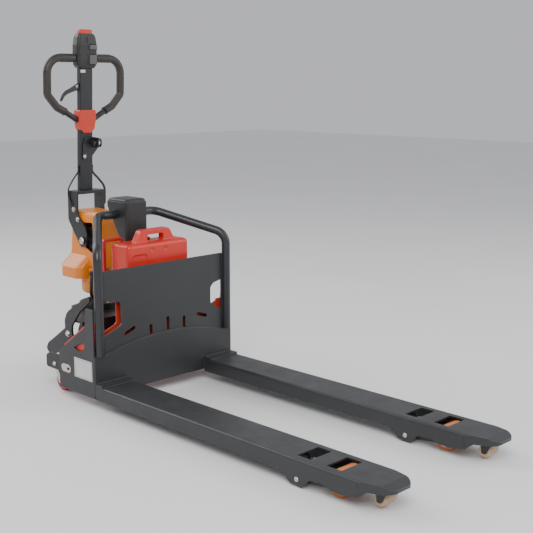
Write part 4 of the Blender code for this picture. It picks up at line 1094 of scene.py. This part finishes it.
def build_tiller():
    dress("tiller_clevis", "black_paint", 0.0010)
    dress("tiller_shaft", "black_paint", 0.0014)
    dress("key_bracket", "black_paint", 0.0006)
    heads = []
    for side, _ in SIDES:
        heads.append(((side * (EAR_X + 0.006), TILT.y, TILT.z), 0.0100, side * 0.0050))
        heads += [
            ((side * EAR_X, y, z), 0.0072, side * 0.0055)
            for y, z in ((0.452, 0.607), (0.428, 0.572))
        ]
    bolt_heads("clevis_bolts", heads, "X", "tiller")

    path = loop_path()
    piece("handle_loop_tube", pipe(path, LOOP_TUBE_R), "black_paint", "tiller", ["handle_loop"], SHAFT)
    grip_low, grip_edge = 0.279, HEAD_HALF[0] + 0.004
    for side, label in SIDES:
        part = [p for p in path if p.x * side > grip_edge and p.z > grip_low]
        ends = Vector((side * grip_edge, 0, LOOP_TOP))
        part = [ends, *part] if side > 0 else [*part, ends]
        fine = curve_through(part, len(part) * 4)
        radii = []
        for i in range(len(fine)):
            from_end = min(i, len(fine) - 1 - i)
            radii.append(GRIP_R - 0.0012 if from_end > 4 else GRIP_R - 0.0002 * max(0, 2 - from_end))
        piece(
            f"grip_{label}_sleeve",
            pipe(fine, radii, LOOP_TUBE_R + 0.0003, 40),
            "grip",
            "tiller",
            [f"grip_{label}"],
            SHAFT,
        )

    hx, hy = SHAFT_HALF
    low, high = HUB_Z
    hub = [
        (0.016, low, 0.006), (0.030, low + 0.014, 0.010), (0.038, low + 0.054, 0.02), (0.0355, high, 0.006)
    ]
    outline = fillet([(-x, z, r) for x, z, r in reversed(hub)] + hub, 8)
    room = [
        prism(rectangle((-hx - 0.0003, -hy - 0.0003), (hx + 0.0003, hy + 0.0003), 0.003), "Z", 0.1, 0.4)
    ]
    room += [
        pipe([path[0], path[1]], LOOP_TUBE_R + 0.0004), pipe([path[-2], path[-1]], LOOP_TUBE_R + 0.0004)
    ]
    piece(
        "hub_cover_shell",
        prism(outline, "Y", -0.019, 0.018),
        "signal_red",
        "tiller",
        ["hub_cover"],
        SHAFT,
        cut=room,
        mould=(0.0011, 5),
    )

    build_head()
    build_levers_and_key()
    near = [
        (-0.0304, 0, 0.085), (-0.0304, 0.001, 0.062), (-0.044, 0.012, 0.034), (-0.0600, 0.012, 0.010),
        (-0.0665, 0.010, -0.003), (-0.0665, 0.010, -0.030), (
            -0.0665, -0.002, -0.050
        ), (-0.0665, -0.010, -0.060),
    ]
    far = [
        (0.0318, 0, 0.085), (0.0322, -0.002, 0.060), (0.046, -0.020, 0.035), (0.063, -0.027, 0.012),
        (0.0682, -0.029, -0.006), (0.0682, -0.030, -0.028), (0.0682, -0.030, -0.060),
    ]
    for label, radius, route in (("right", 0.0028, near), ("left", 0.0042, far)):
        cable = pipe(curve_through(route, 70), radius, sides=20)
        piece(f"tiller_cable_{label}_sheath", cable, "rubber", "tiller", [f"tiller_cable_{label}"], SHAFT)


def build_head():
    hx, hy = HEAD_HALF
    low, high = HEAD_Z
    levels = (
        (0.78, low), (0.94, low + 0.010), (1.0, low + 0.030), (1.0, high - 0.040), (0.90, high - 0.012),
        (0.76, high),
    )
    rings = [
        [(x, y, z) for x, y in rectangle((-hx * s, -hy * s), (hx * s, hy * s), 0.010 * s)]
        for s, z in levels
    ]
    bar = pipe([(-0.1, 0, LOOP_TOP), (0.1, 0, LOOP_TOP)], LOOP_TUBE_R + 0.0004)
    pockets = [
        box((0.0055, -hy - 0.01, 0.5055), (0.0385, -hy + 0.004, 0.5245)),
        box((0.0055, -hy - 0.01, 0.4535), (0.0385, -hy + 0.004, 0.4895)),
        prism(rectangle((-0.0285, -0.0115), (0.0285, 0.0115), 0.006), "Z", high - 0.008, high + 0.05),
    ]
    collars = [rod("X", (s * 0.0400, 0, LOOP_TOP), 0.0150, -0.0032, 0.0032) for s in (-1, 1)]
    piece(
        "control_head_shell",
        loft(rings),
        "black_plastic",
        "tiller",
        ["control_head"],
        SHAFT,
        add=collars,
        cut=[bar, *pockets],
        mould=(0.0011, 4),
    )
    screws = [
        rod("Y", (x, 0.0195, z), 0.0032, 0.0, 0.0018, 32)
        for x in (-0.028, 0.028)
        for z in (0.462, 0.530)
    ]
    piece("head_screws", merged(screws), "zinc", "tiller", at=SHAFT, edge=0.0003)
    seam = prism(rectangle((-0.0030, low + 0.012), (-0.0022, high - 0.012)), "Y", -hy - 0.0001, -hy + 0.002)
    piece("head_seam", seam, "rubber", "tiller", at=SHAFT)

    button = []
    for step in range(9):
        angle = math.pi / 2 * step / 8
        inset = 0.008 * (1 - math.cos(angle))
        button.append((inset, high + 0.008 + 0.0075 * math.sin(angle)))
    rings = [
        [
            (x, y, z)
            for x, y in rectangle(
                (s - 0.028, s - 0.011), (0.028 - s, 0.011 - s), max(0.0015, 0.0055 - s / 2)
            )
        ]
        for s, z in [(0.0, high - 0.001), *button]
    ]
    piece("belly_button_cap", loft(rings), "signal_red", "belly_button", ["belly_button"], SHAFT)
    for name, z0, z1 in (("horn_button", 0.506, 0.524), ("lift_button", 0.454, 0.489)):
        rocker = []
        for inset, y in (
            (0.0, 0.0015), (0.0, -0.0026), (0.0004, -0.0036), (0.0012, -0.0046), (0.0024, -0.0053),
            (0.0050, -0.0055),
        ):
            rocker.append(
                [
                    (x, y - hy, z)
                    for x, z in rectangle((0.006 + inset, z0 + inset), (0.038 - inset, z1 - inset), 0.002)
                ],
            )
        piece(f"{name}_rocker", loft(rocker), "grey_plastic", name, [name], SHAFT)
    clip = box((-hx * 0.62, -SHAFT_HALF[1] - 0.0012, 0.424), (-0.006, -SHAFT_HALF[1] + 0.0002, 0.434))
    piece("head_clip", clip, "zinc", "tiller", at=SHAFT, edge=0.0004)


def build_levers_and_key():
    hx = SHAFT_HALF[0]
    top = [(-0.006, 0.388), (0.002, 0.385), (0.040, 0.368), (0.078, 0.353), (0.097, 0.338), (0.1125, 0.317)]
    under = [
        (0.1065, 0.3125), (0.0985, 0.320), (0.087, 0.332), (0.056, 0.3455), (0.004, 0.360), (-0.007, 0.366)
    ]
    blade = [(p.x, p.y) for p in curve_through([Vector(p) for p in top], 30)]
    blade += [(p.x, p.y) for p in curve_through([Vector(p) for p in under], 30)]
    lever = prism(blade, "X", -hx - 0.0075, -hx - 0.0010)
    piece(
        "lowering_lever_blade",
        lever,
        "black_plastic",
        "lowering_lever",
        ["lowering_lever"],
        SHAFT,
        edge=0.0020,
        angle=50,
    )
    bolt_heads(
        "lever_pivot_bolt", [((-hx - 0.0075, 0, 0.374), 0.0042, -0.0026)], "X", "lowering_lever", SHAFT
    )
    bolt_heads(
        "key_bracket_bolt",
        [((-0.0125, -SHAFT_HALF[1] - 0.0043, 0.120), 0.0052, -0.0032)],
        "Y",
        "tiller",
        SHAFT,
    )
    barrel = [
        (0, 0.024), (0.0100, 0.024), (0.0106, 0.026), (0.0106, 0.0360), (0.0094, 0.0383), (0.004, 0.0386),
        (0, 0.0378),
    ]
    piece("key_barrel", lathe(barrel, "X", (0, -0.034, 0.170)), "zinc", "tiller", at=SHAFT)
    bow = prism(capsule((-0.034, 0.164), (-0.034, 0.176), 0.010), "X", 0.0420, 0.0450)
    eyelet = rod("X", (0.043, -0.034, 0.1795), 0.0028, -0.01, 0.01, 24)
    piece(
        "ignition_key_bow",
        bow,
        "black_plastic",
        "ignition_key",
        ["ignition_key"],
        SHAFT,
        cut=[eyelet],
        edge=0.0009,
    )
    shank = box((0.0387, -0.0375, 0.1665), (0.0425, -0.0305, 0.1735))
    piece("ignition_key_shank", shank, "brass", "ignition_key", at=SHAFT, edge=0.0004)


# ---- studio ----
def build_studio():
    floor = new_object("floor", box((-14, -14, -0.02), (14, 14, -0.0004)), Matrix.Identity(4))
    n = Nodes("floor_pale")
    tone = n.mix(n.span(n.noise(1.3, 3.0), 0.3, 0.7), (0.83, 0.83, 0.83), (0.86, 0.86, 0.86))
    n.join(tone, n.shader.inputs["Base Color"])
    n.shader.inputs["Roughness"].default_value = 0.75
    floor.data.materials.append(n.material)
    world = bpy.data.worlds.new("studio")
    bpy.context.scene.world = world
    world.use_nodes = True
    world.node_tree.nodes["Background"].inputs["Color"].default_value = (0.95, 0.96, 1.0, 1.0)
    world.node_tree.nodes["Background"].inputs["Strength"].default_value = 0.62
    lamps = (
        ("key", (-2.6, -2.6, 3.4), 2.6, 150),
        ("fill", (3.2, -2.4, 2.2), 3.0, 70),
        ("back", (-1.2, 3.4, 2.8), 2.6, 90),
    )
    for name, at, size, power in lamps:
        light = bpy.data.lights.new(name, "AREA")
        light.size = size
        light.energy = power
        lamp = bpy.data.objects.new(name, light)
        bpy.context.scene.collection.objects.link(lamp)
        lamp.location = at
        lamp.rotation_euler = (LIGHT_AIM - Vector(at)).to_track_quat("-Z", "Y").to_euler()

    camera = bpy.data.cameras.new("camera")
    camera.sensor_width = 36
    camera.lens = CAMERA_LENS
    eye = bpy.data.objects.new("camera", camera)
    bpy.context.scene.collection.objects.link(eye)
    eye.location = CAMERA_AT
    eye.rotation_euler = (CAMERA_AIM - CAMERA_AT).to_track_quat("-Z", "Y").to_euler()
    bpy.context.scene.camera = eye


build_studio()
build_chassis()
build_housing()
build_battery()
build_drive_frame()
build_drive_unit()
build_tiller()

bpy.context.view_layer.update()
